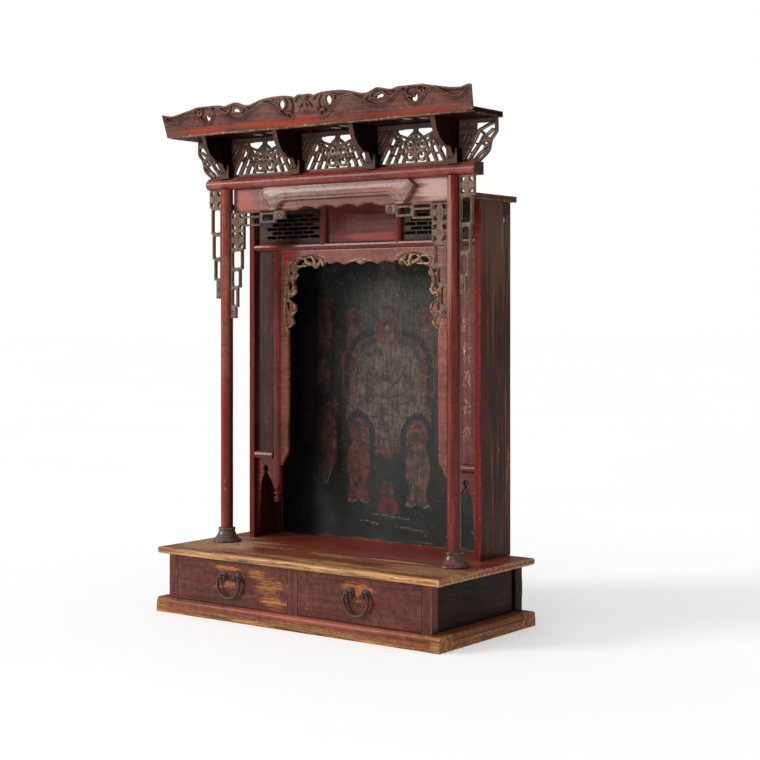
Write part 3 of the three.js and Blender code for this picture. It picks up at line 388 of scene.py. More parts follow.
def placed(front, x=0, z=0, side=1):
    """Maps a board's u, depth behind its front and w to x, y and z; side -1 mirrors it."""
    return lambda u, back, w: np.stack([x + side * u, front + back, z + w], 1)


class Board:
    """A carved board: fields of extent and height over a grid in its own plane, in millimetres."""

    def __init__(self, u0, u1, w0, w1, step):
        self.us = np.arange(u0 - 2 * step, u1 + 2.5 * step, step)
        self.ws = np.arange(w0 - 2 * step, w1 + 2.5 * step, step)
        self.px, self.pz = np.meshgrid(self.us, self.ws)
        self.inside = np.full(self.px.shape, -60.0)
        self.high = np.zeros(self.px.shape)
        self.extra = np.zeros(self.px.shape)

    def near(self, points, margin):
        p = as_points(points)
        i0, i1 = np.searchsorted(self.us, [p[:, 0].min() - margin, p[:, 0].max() + margin])
        j0, j1 = np.searchsorted(self.ws, [p[:, 1].min() - margin, p[:, 1].max() + margin])
        return (slice(j0, j1), slice(i0, i1))

    def shape(self, points, cut=False):
        """Adds or cuts a polygon."""
        at = self.near(points, 12)
        d = polygon_distance(self.px[at], self.pz[at], points)
        self.inside[at] = np.minimum(self.inside[at], -d) if cut else np.maximum(self.inside[at], d)

    def stroke(self, points, radii, top=0.0, solid=True, line=True, groove=0.0, soft=None):
        """Adds a round-backed strand, or only raises or grooves the surface."""
        points = smooth_line(points) if line else as_points(points)
        radii = stretched(radii, len(points))
        at = self.near(points, radii.max() + 10)
        d = stroke_distance(self.px[at], self.pz[at], points, radii)
        if solid:
            self.inside[at] = np.maximum(self.inside[at], d)
        if top or groove:
            t = np.clip(d / (soft or radii.max()), 0, 1)
            dome = np.sqrt(1 - (1 - t) ** 2)
            if top:
                self.high[at] = np.where(d > 0, np.maximum(self.high[at], dome * top), self.high[at])
            if groove:
                self.high[at] -= dome * groove

    def ridge(self, points, radii, top, line=True, soft=None):
        self.stroke(points, radii, top, False, line, 0.0, soft)

    def groove(self, points, radii, depth, line=True, soft=None):
        self.stroke(points, radii, 0.0, False, line, depth, soft)

    def hollow(self, points, depth, soft):
        """Scoops a polygon with soft sides; a negative depth raises it."""
        at = self.near(points, 2)
        d = polygon_distance(self.px[at], self.pz[at], points)
        t = np.clip(d / soft, 0, 1)
        self.high[at] -= depth * t * t * (3 - 2 * t)

    def build(
        self, name, node, thickness, place, material, rim, worn_rim, slot="carved_worn_wood", proud=0.0,
        raised=0.8
    ):
        """Turns the fields into a closed mesh with its front and back where place puts them."""
        field = self.inside
        blur = self.high.copy()
        for _ in range(6):
            blur = (
                blur + np.roll(blur, 1, 0) + np.roll(blur, -1, 0) + np.roll(blur, 1, 1) + np.roll(blur, -1, 1)
            ) / 5
        rise = self.high - blur
        edge = np.clip(1 - field / worn_rim, 0, 1)
        wear = np.clip(rise * 1.6, 0, 1) * raised + edge * 0.9 + self.extra
        # Hollows below the blurred surface: grime plus painted shade.
        dirt = np.clip(-rise * 1.8, 0, 1)
        drop = rim * (1 - np.sqrt(1 - (1 - np.clip(field / rim, 0, 1)) ** 2)) if rim else 0 * field
        front = np.minimum(self.high, proud) - drop

        keep = field > 0
        ids = -np.ones(field.shape, int)
        ids[keep] = np.arange(keep.sum())
        us = list(self.px[keep])
        ws = list(self.pz[keep])
        hs = list(front[keep])
        wr = list(wear[keep])
        dr = list(dirt[keep])
        quads = keep[:-1, :-1] & keep[:-1, 1:] & keep[1:, 1:] & keep[1:, :-1]
        j, i = np.nonzero(quads)
        faces = np.stack([ids[j, i], ids[j, i + 1], ids[j + 1, i + 1], ids[j + 1, i]], 1).tolist()
        some = (keep[:-1, :-1] | keep[:-1, 1:] | keep[1:, 1:] | keep[1:, :-1]) & ~quads
        crossing = {}

        def edge_point(a, b):
            key = (a, b) if a < b else (b, a)
            if key not in crossing:
                (ja, ia), (jb, ib) = key
                fa, fb = field[ja, ia], field[jb, ib]
                t = min(0.93, max(0.07, fa / (fa - fb)))
                crossing[key] = len(us)
                us.append(self.us[ia] + (self.us[ib] - self.us[ia]) * t)
                ws.append(self.ws[ja] + (self.ws[jb] - self.ws[ja]) * t)
                source = key[0] if fa > 0 else key[1]
                hs.append(min(self.high[source], proud) - rim)
                wr.append(wear[source])
                dr.append(dirt[source])
            return crossing[key]

        border = []
        for j, i in zip(*np.nonzero(some)):
            corners = ((j, i), (j, i + 1), (j + 1, i + 1), (j + 1, i))
            ring, leaving, first = [], None, None
            pairs = []
            for k in range(4):
                a, b = corners[k], corners[(k + 1) % 4]
                if keep[a]:
                    ring.append(ids[a])
                if keep[a] != keep[b]:
                    point = edge_point(a, b)
                    ring.append(point)
                    if keep[a]:
                        leaving = point
                    elif leaving is not None:
                        pairs.append((leaving, point))
                        leaving = None
                    else:
                        first = point
            if leaving is not None and first is not None:
                pairs.append((leaving, first))
            if len(ring) > 2:
                faces.append(ring)
                border.extend(pairs)
        count = len(us)
        us, ws, hs = np.array(us), np.array(ws), np.array(hs)
        points = np.vstack([place(us, -hs, ws), place(us, np.full(count, float(thickness)), ws)])
        every = faces + [[v + count for v in reversed(f)] for f in faces]
        every += [[b, a, a + count, b + count] for a, b in border]
        wr, dr = np.array(wr), np.array(dr)
        fields = {"wear": np.concatenate([wr, wr * 0.4]), "dirt": np.concatenate([dr, dr * 0 + 0.2])}
        make_object(name, node, points, every, material, slot, 44, fields)


def turned(name, node, profile, x, y, z, material, slot, sides):
    """A lathe piece on a vertical axis, from pairs of radius and height that start and end on the axis."""
    angles = [2 * math.pi * k / sides for k in range(sides)]
    rings = [[(x + r * math.cos(a), y + r * math.sin(a), z + h) for a in angles] for r, h in profile[1:-1]]
    points = [(x, y, z + profile[0][1])] + [p for ring in rings for p in ring] + [(x, y, z + profile[-1][1])]
    last = len(points) - 1
    first_band = [(0, 1 + (k + 1) % sides, 1 + k) for k in range(sides)]
    last_band = [(last - sides + k, last - sides + (k + 1) % sides, last) for k in range(sides)]
    make_object(
        name, node, points, first_band + bands(len(rings), sides, 1)[:-2] + last_band, material, slot, 40)


# Finishes of the plain boards.
RED_OLD = dict(tones=((104, 37, 31), (62, 23, 20), (132, 50, 43)))
BROWN_RED = dict(tones=((98, 52, 42), (60, 32, 26), (122, 70, 56)))
DARK = dict(tones=((42, 24, 19), (23, 14, 11), (60, 35, 28)), spec=0.06, coat=0.0)


def finish_node(node, bevel=1.2, **look):
    """Gives a CAD node its own finish with worn edges, and rounds its edges."""
    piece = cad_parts[node]
    piece.data.materials.clear()
    box = tuple(tuple(corner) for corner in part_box(node))
    piece.data.materials.append(lacquer(f"finish_{node}", edge=box, **look))
    if bevel:
        rounded = piece.modifiers.new("rounded_edges", "BEVEL")
        rounded.width = bevel * MM
        rounded.segments = 2
        rounded.limit_method = "ANGLE"
        rounded.angle_limit = math.radians(40)


# Base.
finish_node(
    "table_board", tones=((138, 72, 54), (84, 43, 32), (166, 98, 68)), wood=(200, 148, 98),
    under=(152, 96, 62), wear=0.04, streak=0.8, edge_wide=10, edge_wear=0.85, bevel=1.0, glow=(0.3, 0.5),
    coat=0.12, flecks=0.3, blotch=0.5, bump=0.22,
    patches=[
        ((-80, -152, 163), (280, 50, 30), 0.7), ((-350, -110, 163), (170, 120, 30), 0.5),
        ((-400, -20, 163), (90, 130, 30), 0.3), ((170, -158, 163), (240, 44, 30), 0.75),
        ((0, -202, 152), (480, 26, 30), 1.1), ((440, -100, 155), (50, 140, 20), 0.4),
        ((70, -70, 163), (230, 32, 30), 0.6), ((-180, -50, 163), (170, 36, 30), 0.55),
        ((230, -30, 163), (150, 20, 30), 0.4), ((400, 140, 160), (70, 70, 30), 0.35),
        ((15, -54, 163), (80, 12, 30), 1.2), ((198, -42, 163), (120, 13, 30), 1.3),
        ((330, -126, 163), (150, 60, 30), 0.5)],
    tints=[
        ((132, 38, 29), (20, 100, 163), (500, 130, 30), 0.75, 2.2),
        ((150, 34, 25), (40, 170, 163), (420, 50, 30), 0.8, 1.2),
        ((140, 46, 36), (440, 20, 160), (90, 170, 30), 0.6),
        # Painted sheen: this pale tint on the left part of the top stands in for a reflection.
        ((206, 160, 130), (-350, -70, 163), (210, 150, 30), 0.95, 1.4),
        ((172, 122, 94), (330, -110, 163), (170, 90, 30), 0.8, 1.6)])
for label, _ in SIDES:
    finish_node(f"stile_front_{label}", axis="Z", edge_wide=3.5, edge_wear=0.42, flecks=0.2, **BROWN_RED)
    finish_node(f"stile_back_{label}", axis="Z", edge_wide=4, edge_wear=0.3, **DARK)
    finish_node(f"base_side_{label}", axis="Y", edge_wear=0.1, dirt=0.8, glow=(0.42, 0.62), **DARK)
finish_node("base_back", edge_wear=0.2, **DARK)
finish_node("partition_with_middle_stile", axis="Z", edge_wide=3.5, edge_wear=0.42, flecks=0.2, **BROWN_RED)
drawer_look = dict(
    tones=((94, 47, 38), (58, 30, 25), (114, 61, 47)), wood=(168, 104, 54), under=(120, 66, 36),
    edge_wide=6.0, edge_wear=0.42, flecks=0.35, glow=(0.4, 0.6), border=0.85, cloud=12.0, scratches=0.35,
    blotch=0.9, dirt=0.25)


def front_patches(*rows):
    """Worn places on the drawer fronts: x, z, half width, half height and strength."""
    return [((x, DRAWER_FACE, z), (wide, 20, high), strength) for x, z, wide, high, strength in rows]


finish_node(
    "drawer_left",
    patches=front_patches(
        (-210, 127, 64, 9, 1.25), (-222, 113, 26, 14, 0.8), (-196, 90, 30, 17, 1.15), (-235, 80, 30, 10, 0.9),
        (-90, 92, 62, 48, 0.78), (-120, 122, 40, 16, 0.8), (-50, 55, 60, 26, 0.75), (-155, 62, 40, 14, 0.5),
        (-40, 100, 40, 40, 0.45)),
    **drawer_look)
finish_node(
    "drawer_right",
    patches=front_patches(
        (190, 128, 62, 9, 1.15), (199, 108, 18, 22, 1.05), (160, 118, 34, 8, 0.8), (230, 119, 30, 7, 0.8),
        (196, 86, 24, 10, 0.7), (40, 60, 24, 30, 0.4)),
    **drawer_look)
plinth_look = dict(
    tones=((128, 68, 46), (84, 46, 32), (156, 90, 64)), wood=(176, 120, 70), under=(134, 84, 52), edge_wide=7,
    edge_wear=0.7, flecks=0.35, streak=0.75)
for node, axis in (("front", "X"), ("back", "X"), ("left", "Y"), ("right", "Y")):
    finish_node(
        f"plinth_rail_{node}", axis=axis, wear=0.12,
        patches=[
            ((0, -204, 6), (500, 30, 22), 0.8), ((434, 0, 6), (40, 260, 22), 0.7),
            ((-434, 0, 6), (40, 260, 22), 0.7), ((436, -196, 14), (40, 50, 34), 0.9),
            ((430, 196, 22), (40, 30, 26), 0.9), ((-430, -196, 22), (60, 40, 34), 0.8)],
        tints=[((154, 74, 62), (60, -190, 32), (380, 30, 14), 0.9)], **plinth_look)

# Porch boards that stay as they are.
# The roof board's dark tones are painted shade for its underside; faces turned up are a lighter brown.
finish_node(
    "roof_board", edge_wear=0.55, edge_wide=5, wood=(150, 116, 78),
    tones=((32, 11, 9), (16, 7, 6), (48, 16, 13)), spec=0.04, coat=0.0, glow=(0.6, 0.75),
    faces=[((96, 52, 40), (0, 0, 1), 1.0)],
    tints=[
        ((170, 156, 140), (x, y, 1203), (15, 22, 8), 0.85, 0.25)
        for x, y in ((-223, -57), (-168, -71), (28, -57), (69, -78), (271, -99), (313, -91))])
# Brackets: the dark tones are painted shade on their sides; faces turned to the front and down are tinted
# lighter as the lit side.
for i in range(4):
    finish_node(
        f"roof_bracket_{i + 1}", axis="Z", edge_wide=3, edge_wear=0.62, wood=(150, 128, 108),
        under=(74, 58, 50), tones=((26, 11, 10), (13, 6, 6), (42, 18, 15)), dirt=0.6, spec=0.05, coat=0.0,
        faces=[((98, 72, 60), (0, -1, 0), 0.9), ((84, 60, 50), (0, -0.7, -0.7), 0.7)])

# Shrine box boards that stay as they are.
side_look = dict(
    tones=((68, 40, 31), (40, 24, 19), (92, 56, 42)), wood=(160, 104, 60), edge_wide=4, edge_wear=0.45,
    spec=0.08, coat=0.02)
for label, side in SIDES:
    finish_node(
        f"box_side_{label}", axis="Z",
        patches=[
            ((side * BOX_HALF_X, y, z), (12, deep, high), strength)
            for y, z, deep, high, strength in (
                (180, 300, 40, 150, 0.5), (190, 560, 20, 90, 0.35), (110, 190, 60, 40, 0.45),
                (150, 430, 30, 60, 0.4), (192, 420, 16, 120, 0.5), (186, 760, 16, 60, 0.4))],
        tints=[
            ((108, 76, 64), (side * BOX_HALF_X, 130, 950), (12, 120, 240), 0.6, 3.0),
            ((74, 30, 24), (side * BOX_HALF_X, 84, 560), (6, 26, 500), 0.7),
            # Painted shade: a near-black band down the inner face, inside the niche.
            ((20, 14, 12), (side * (BOX_HALF_X - 19), 140, 560), (5, 76, 520), 0.9),
            ((196, 190, 182), (side * BOX_HALF_X, 172, 1006), (4, 2.4, 8), 0.9),
            ((196, 190, 182), (side * BOX_HALF_X, 175, 978), (4, 2.8, 9), 0.9)],
        faces=[((112, 24, 19), (0, -1, 0), 0.95)], streak=0.7, flecks=0.4, glow=(0.4, 0.62), **side_look)
finish_node(
    "box_top", tones=((74, 54, 44), (44, 31, 26), (98, 74, 60)), wood=(140, 108, 78), edge_wide=7,
    edge_wear=0.6, streak=0.8, glow=(0.5, 0.7), coat=0.0)
finish_node(
    "box_batten", tones=((66, 46, 34), (40, 28, 22), (92, 64, 46)), wood=(132, 96, 64), edge_wear=0.4,
    coat=0.0)
finish_node(
    "upper_frame", edge_wear=0.3, edge_wide=3, glow=(0.24, 0.5), coat=0.2,
    tints=[((168, 26, 22), (-300, 70, 930), (60, 20, 12), 0.9)], **RED_OLD)
finish_node(
    "centre_panel", edge_wear=0.1, bevel=0, tones=((96, 40, 36), (66, 28, 26), (118, 54, 48)), streak=0.7,
    tints=[((150, 60, 48), (40, 80, 945), (120, 20, 16), 0.7)])
for label in ("left", "right"):
    finish_node(
        f"lattice_{label}", edge_wear=0.2, bevel=0, tones=((54, 36, 30), (28, 19, 16), (86, 60, 48)),
        wood=(150, 112, 82), flecks=0.3)
    finish_node(
        f"small_rail_with_keyhole_{label}", edge_wear=0.3, edge_wide=3, glow=(0.26, 0.5), coat=0.25,
        **RED_OLD)
    finish_node(f"narrow_panel_{label}", axis="Z", edge_wear=0.15, bevel=0, **BROWN_RED)


# Turned pieces and the beam.
post_left_look = lacquer(
    "post_left_finish", ((142, 66, 54), (100, 40, 33), (172, 96, 80)), axis="Z", wear=0.08, streak=0.75,
    glow=(0.3, 0.55), coat=0.2, wood=(196, 150, 112), flecks=0.4,
    tints=[((118, 28, 22), (-354, -28, 400), (40, 40, 320), 0.9)],
    # Painted shade: faces turned away from the key light are darker.
    faces=[((66, 26, 21), (0.787, 0.617, 0), 0.75)],
    patches=[((-362, -42, 720), (14, 14, 30), 0.5), ((-350, -44, 300), (14, 14, 40), 0.4)])
post_right_look = lacquer(
    "post_right_finish", ((116, 34, 26), (68, 21, 17), (146, 52, 42)), axis="Z", streak=0.75,
    # Painted shade: faces turned away from the key light are darker.
    faces=[((50, 19, 16), (0.787, 0.617, 0), 0.8)],
    # Painted highlight: a pale streak on the upper front-left of the post.
    tints=[((150, 106, 98), (346, -42, 900), (18, 22, 260), 0.8, 1.4)], glow=(0.32, 0.5), coat=0.25,
    wood=(190, 140, 100), flecks=0.3,
    patches=[((350, -44, 1000), (12, 14, 14), 0.5), ((348, -44, 880), (12, 14, 20), 0.35)])
base_look = lacquer(
    "post_base_finish", ((96, 76, 67), (54, 43, 38), (138, 112, 98)), axis="Z", wood=(150, 112, 84),
    under=(104, 62, 46), wear=-0.02, glow=(0.22, 0.4), coat=0.45, flecks=0.3,
    tints=[((112, 44, 36), (354, -60, 175), (40, 30, 30), 0.6)])
hanging_look = lacquer(
    "hanging_post_finish", ((118, 42, 36), (72, 26, 23), (150, 62, 52)), axis="Z", glow=(0.24, 0.5), coat=0.3,
    streak=0.75, wood=(176, 128, 98),
    patches=[((side * HANGING_X, 81, 272), (22, 22, 26), 0.5) for side in (-1, 1)])


def post_profile(high, radius, steps=60):
    """A post a little uneven in girth, with its end edges taken off."""
    rings = []
    for i in range(steps + 1):
        girth = (1 + 0.006 * math.sin(6.1 * i / steps * 3)) * (0.985 if i in (0, steps) else 1)
        rings.append((radius * girth, high * i / steps))
    return [(0, 0)] + rings + [(0, high)]


def bell_profile():
    knots = smooth_line([
        (37.6, 2.0), (37.9, 3.2), (36.2, 6), (31.5, 9.5), (27, 14.5), (24, 19.5), (22.4, 24), (21.2, 27)], 5)
    ring = smooth_line([(20.6, 28.2), (21.9, 30), (22.2, 32.4), (21.9, 34.8), (20.8, 36)], 4)
    return [(0, 0.1), (37, 0.1), (37.8, 0.8), *knots.tolist(), *ring.tolist(), (0, BELL_H)]


def hanging_profile(r):
    """A round post that ends below in a row of turned rings."""
    finial = [(0, -FINIAL_H), (r * 0.42, -FINIAL_H)]
    for low, high, thick in ((0, 7, 0.86), (8, 15.5, 1.02), (16.5, 20, 0.72), (20.5, 28, 1.02)):
        for k in range(7):
            a = math.pi * k / 6
            z = -FINIAL_H + low + (high - low) * (1 - math.cos(a)) / 2
            finial.append((r * (0.56 + (thick - 0.56) * math.sin(a)), z))
    finial += [(r * 0.62, -6.5), (r * 0.72, -4), (r * 0.94, -1.5), (r, 0)]
    top = RAIL_LOW - GAP - HANGING_LOW
    return finial + [(r, top * k / 24) for k in range(1, 25)] + [(0, top)]


for (label, side), look in zip(SIDES, (post_left_look, post_right_look)):
    foot = TABLE_TOP + GAP
    turned(
        f"bell_base_{label}", f"post_base_{label}", bell_profile(), side * POST_X, POST_Y, foot, base_look,
        "dark_polished_wood", 64)
    foot += BELL_H + GAP
    turned(
        f"round_post_{label}", f"post_{label}", post_profile(BEAM_LOW - GAP - foot, POST_R), side * POST_X,
        POST_Y, foot, look, "red_lacquer", 48)
    turned(
        f"hanging_post_round_{label}", f"hanging_post_{label}", hanging_profile(HANGING_R), side * HANGING_X,
        BOX_FRONT + HANGING_R, HANGING_LOW, hanging_look, "red_lacquer", 36)

# Beam: a rounded front, and a fillet on top that is cut away under the cups.
beam_look = lacquer(
    "beam_finish", ((134, 62, 54), (92, 38, 34), (160, 86, 76)), wear=0.02, streak=0.7, glow=(0.34, 0.6),
    coat=0.12, wood=(190, 140, 108), flecks=0.3,
    tints=[
        ((176, 30, 24), (0, -28, 1104), (450, 14, 5), 1.0),
        ((60, 40, 32), (419, -20, 1086), (10, 40, 30), 1.0),
        ((150, 88, 70), (-385, -40, 1086), (40, 16, 16), 1.0)],
    patches=[((-400, -36, 1086), (40, 18, 20), 0.4), ((330, -38, 1096), (80, 10, 10), 0.3)])


def beam_section(x):
    """Outline of the beam at x: its fillet is cut away under each cup, and its ends are a little smaller."""
    half = (BEAM_TOP - BEAM_LOW) / 2
    fillet = 0 if any(abs(x - c) < CUP_REACH - 0.03 for c in CUPS) else 1
    ring = [(BEAM_BACK, BEAM_LOW)]
    for k in range(25):
        a = math.radians(270 - 180 * k / 24)
        ring.append((BEAM_FRONT + half + half * math.cos(a), BEAM_LOW + half + half * math.sin(a)))
    for y, rise in ((-30.6, 0), (-30.2, 0.8), (-29.6, 2.3), (-28.6, 3), (BEAM_BACK, 3)):
        ring.append((y, BEAM_TOP + fillet * rise))
    if abs(x) > BEAM_HALF_X - 0.1:
        middle = np.array([-20, 1086.5])
        ring = middle + (np.array(ring) - middle) * 0.94
        ring[:, 0] = np.minimum(ring[:, 0], BEAM_BACK)
    return ring


beam_stations = [-BEAM_HALF_X, -BEAM_HALF_X + 1.2]
for cup in CUPS:
    a, b = cup - CUP_REACH, cup + CUP_REACH
    gap = max(2, int((a - beam_stations[-1]) / 30))
    beam_stations += list(np.linspace(beam_stations[-1] + 8, a - 8, gap)) + [a, a + 0.05, b - 0.05, b]
beam_stations += list(np.linspace(beam_stations[-1] + 8, BEAM_HALF_X - 1.2, 3)) + [BEAM_HALF_X]
beam_points = [(x, y, z) for x in beam_stations for y, z in beam_section(x)]
beam_faces = bands(len(beam_stations), len(beam_section(0)))
make_object("beam_round", "beam", beam_points, beam_faces, beam_look, "red_lacquer", 30)

# Iron pulls.
iron = Graph("black_iron")
rust = iron.noise((260, 260, 260), 5, 0.65)
rust_tone = iron.ramp(rust, (0.38, (34, 29, 27)), (0.52, (66, 55, 49)), (0.68, (112, 76, 54)))
iron.surface(rust_tone, iron.span(rust, 0.35, 0.7, 0.35, 0.7), rust, 0.5, 0.0006, Metallic=0.5)


def tube(points, radii, sides=14):
    """A round rod along a line: its points and faces."""
    p = as_points(points)
    out = []
    tangent = np.gradient(p, axis=0)
    tangent /= np.linalg.norm(tangent, axis=1)[:, None]
    normal = np.cross(tangent[0], [0, 1, 0])
    if np.linalg.norm(normal) < 1e-3:
        normal = np.cross(tangent[0], [1, 0, 0])
    for c, t, r in zip(p, tangent, radii):
        normal = normal - t * (normal @ t)
        normal /= np.linalg.norm(normal)
        other = np.cross(t, normal)
        for k in range(sides):
            a = 2 * math.pi * k / sides
            out.append(c + r * (math.cos(a) * normal + math.sin(a) * other))
    return out, bands(len(p), sides)


def rosette(label, place, x):
    """A round plate with a low dome, and an eye ring in front of it that the bail passes through."""
    profile = [
        (12.6, 0), (13, 0.5), (12.9, 1.4), (12.3, 2.0), (10.6, 2.2), (10.0, 1.9), (9.2, 2.1), (8.6, 2.9),
        (7.2, 3.9), (5.4, 4.7), (3.6, 5.0), (2.2, 5.1)]
    sides, around, across = 36, 28, 10
    points = []
    for r, out in profile:
        for k in range(sides):
            a = 2 * math.pi * k / sides
            points.append((x + r * math.cos(a), DRAWER_FACE - GAP - out, PULL_Z + r * math.sin(a)))
    faces = bands(len(profile), sides)
    at = len(points)
    for i in range(around):
        a = 2 * math.pi * i / around
        for k in range(across):
            b = 2 * math.pi * k / across
            r = 3.95 + 1.25 * math.cos(b)
            points.append((
                x + 1.9 * math.sin(b), DRAWER_FACE - EYE_OUT - r * math.cos(a), PULL_Z + r * math.sin(a)))
            n, m = (i + 1) % around, (k + 1) % across
            faces.append((at + i * across + k, at + i * across + m, at + n * across + m, at + n * across + k))
    node = f"pull_{label}_rosette_{place}"
    make_object(
        f"rosette_{label}_{place}", node, points, faces, iron.material, "iron", 40, body=f"drawer_{label}")


# Half of a bail from its curled end down to its middle: x from the middle and z, and the rod's radii.
BAIL_HALF = [
    (14, 97), (12, 102), (14.5, 106), (18, 107), (23, 107), (29, 107), (33, 103.5), (35.5, 96), (34, 82.5),
    (26.5, 68.2), (14.3, 58.6), (0, 56)]
BAIL_RADII = [2.4, 2.5, 2.3, 2.2, 2.15, 2.2, 2.5, 2.9, 3.3, 3.4, 3.35, 3.3]
for label, side in SIDES:
    for place, end in (("outer", side), ("inner", -side)):
        rosette(label, place, side * PULL_X + end * PULL_HALF)
    line = smooth_line(BAIL_HALF, 8)
    radii = stretched(BAIL_RADII, len(line))
    line = np.vstack([line, flipped(line[::-1])[1:]])
    radii = np.concatenate([radii, radii[::-1][1:]])
    radii[:3] *= (0.35, 0.75, 0.95)
    radii[-3:] *= (0.95, 0.75, 0.35)
    path = [(side * PULL_X + x, DRAWER_FACE - EYE_OUT, z) for x, z in line]
    make_object(
        f"bail_{label}_iron", f"pull_{label}_bail", *tube(path, radii), iron.material, "iron", 50,
        body=f"bail_{label}")

# Carved boards.
CARVED_LOOK = dict(
    wood=(186, 156, 130), under=(150, 116, 94), edge_wear=0.42, flecks=0.25, glow=(0.42, 0.6), dirt=0.85,
    bump=0.3)
frieze_look = carved_lacquer(
    "frieze_finish", ((92, 70, 60), (44, 30, 26), (122, 94, 84)), **CARVED_LOOK,
    tints=[
        ((122, 72, 64), (x + turn * 84, -20, 1160), (24, 14, 40), 0.8) for x in (-236, 0, 236)
        for turn in (-1, 1)])
fret_look = carved_lacquer(
    "fret_finish", ((112, 88, 74), (58, 42, 34), (142, 116, 100)), axis="Z", **CARVED_LOOK)
crest_look = carved_lacquer(
    "crest_finish", ((102, 64, 54), (64, 41, 35), (128, 82, 69)), edge_wear=0.62, wood=(190, 150, 116),
    under=(124, 94, 78), streak=0.7, flecks=0.25, dirt=0.65, glow=(0.42, 0.6), coat=0.04,
    tints=[
        ((150, 54, 34), (-320, -134, 1218), (110, 20, 16), 0.7, 1.8),
        ((158, 52, 32), (-90, -134, 1217), (200, 20, 13), 0.75, 1.8),
        ((134, 38, 28), (240, -134, 1214), (240, 20, 12), 0.6, 1.8),
        ((116, 86, 72), (-40, -142, 1266), (480, 26, 24), 0.85)])

CREST_TOP = [
    (0, 2.5), (16, 1.2), (29, 6), (46, 2), (72, 0), (112, 1), (140, 5), (168, 12), (188, 12.5), (203, 8),
    (216, 4), (232, 6), (256, 10.5), (272, 7), (300, 6.5), (330, 6.5), (348, 7), (366, 11), (384, 14),
    (412, 19), (440, 21.5), (456, 19), (470, 16.5)]
CREST_LINE = [
    (46, 60), (64, 53), (80, 40), (98, 25), (130, 16), (168, 29), (200, 44), (226, 48), (250, 38), (270, 22),
    (286, 20), (298, 34), (310, 47), (324, 50), (338, 40), (352, 25), (372, 19), (400, 31), (424, 43),
    (444, 42), (457, 33), (463, 19)]
CREST_RISE = HEIGHT - CREST_LOW


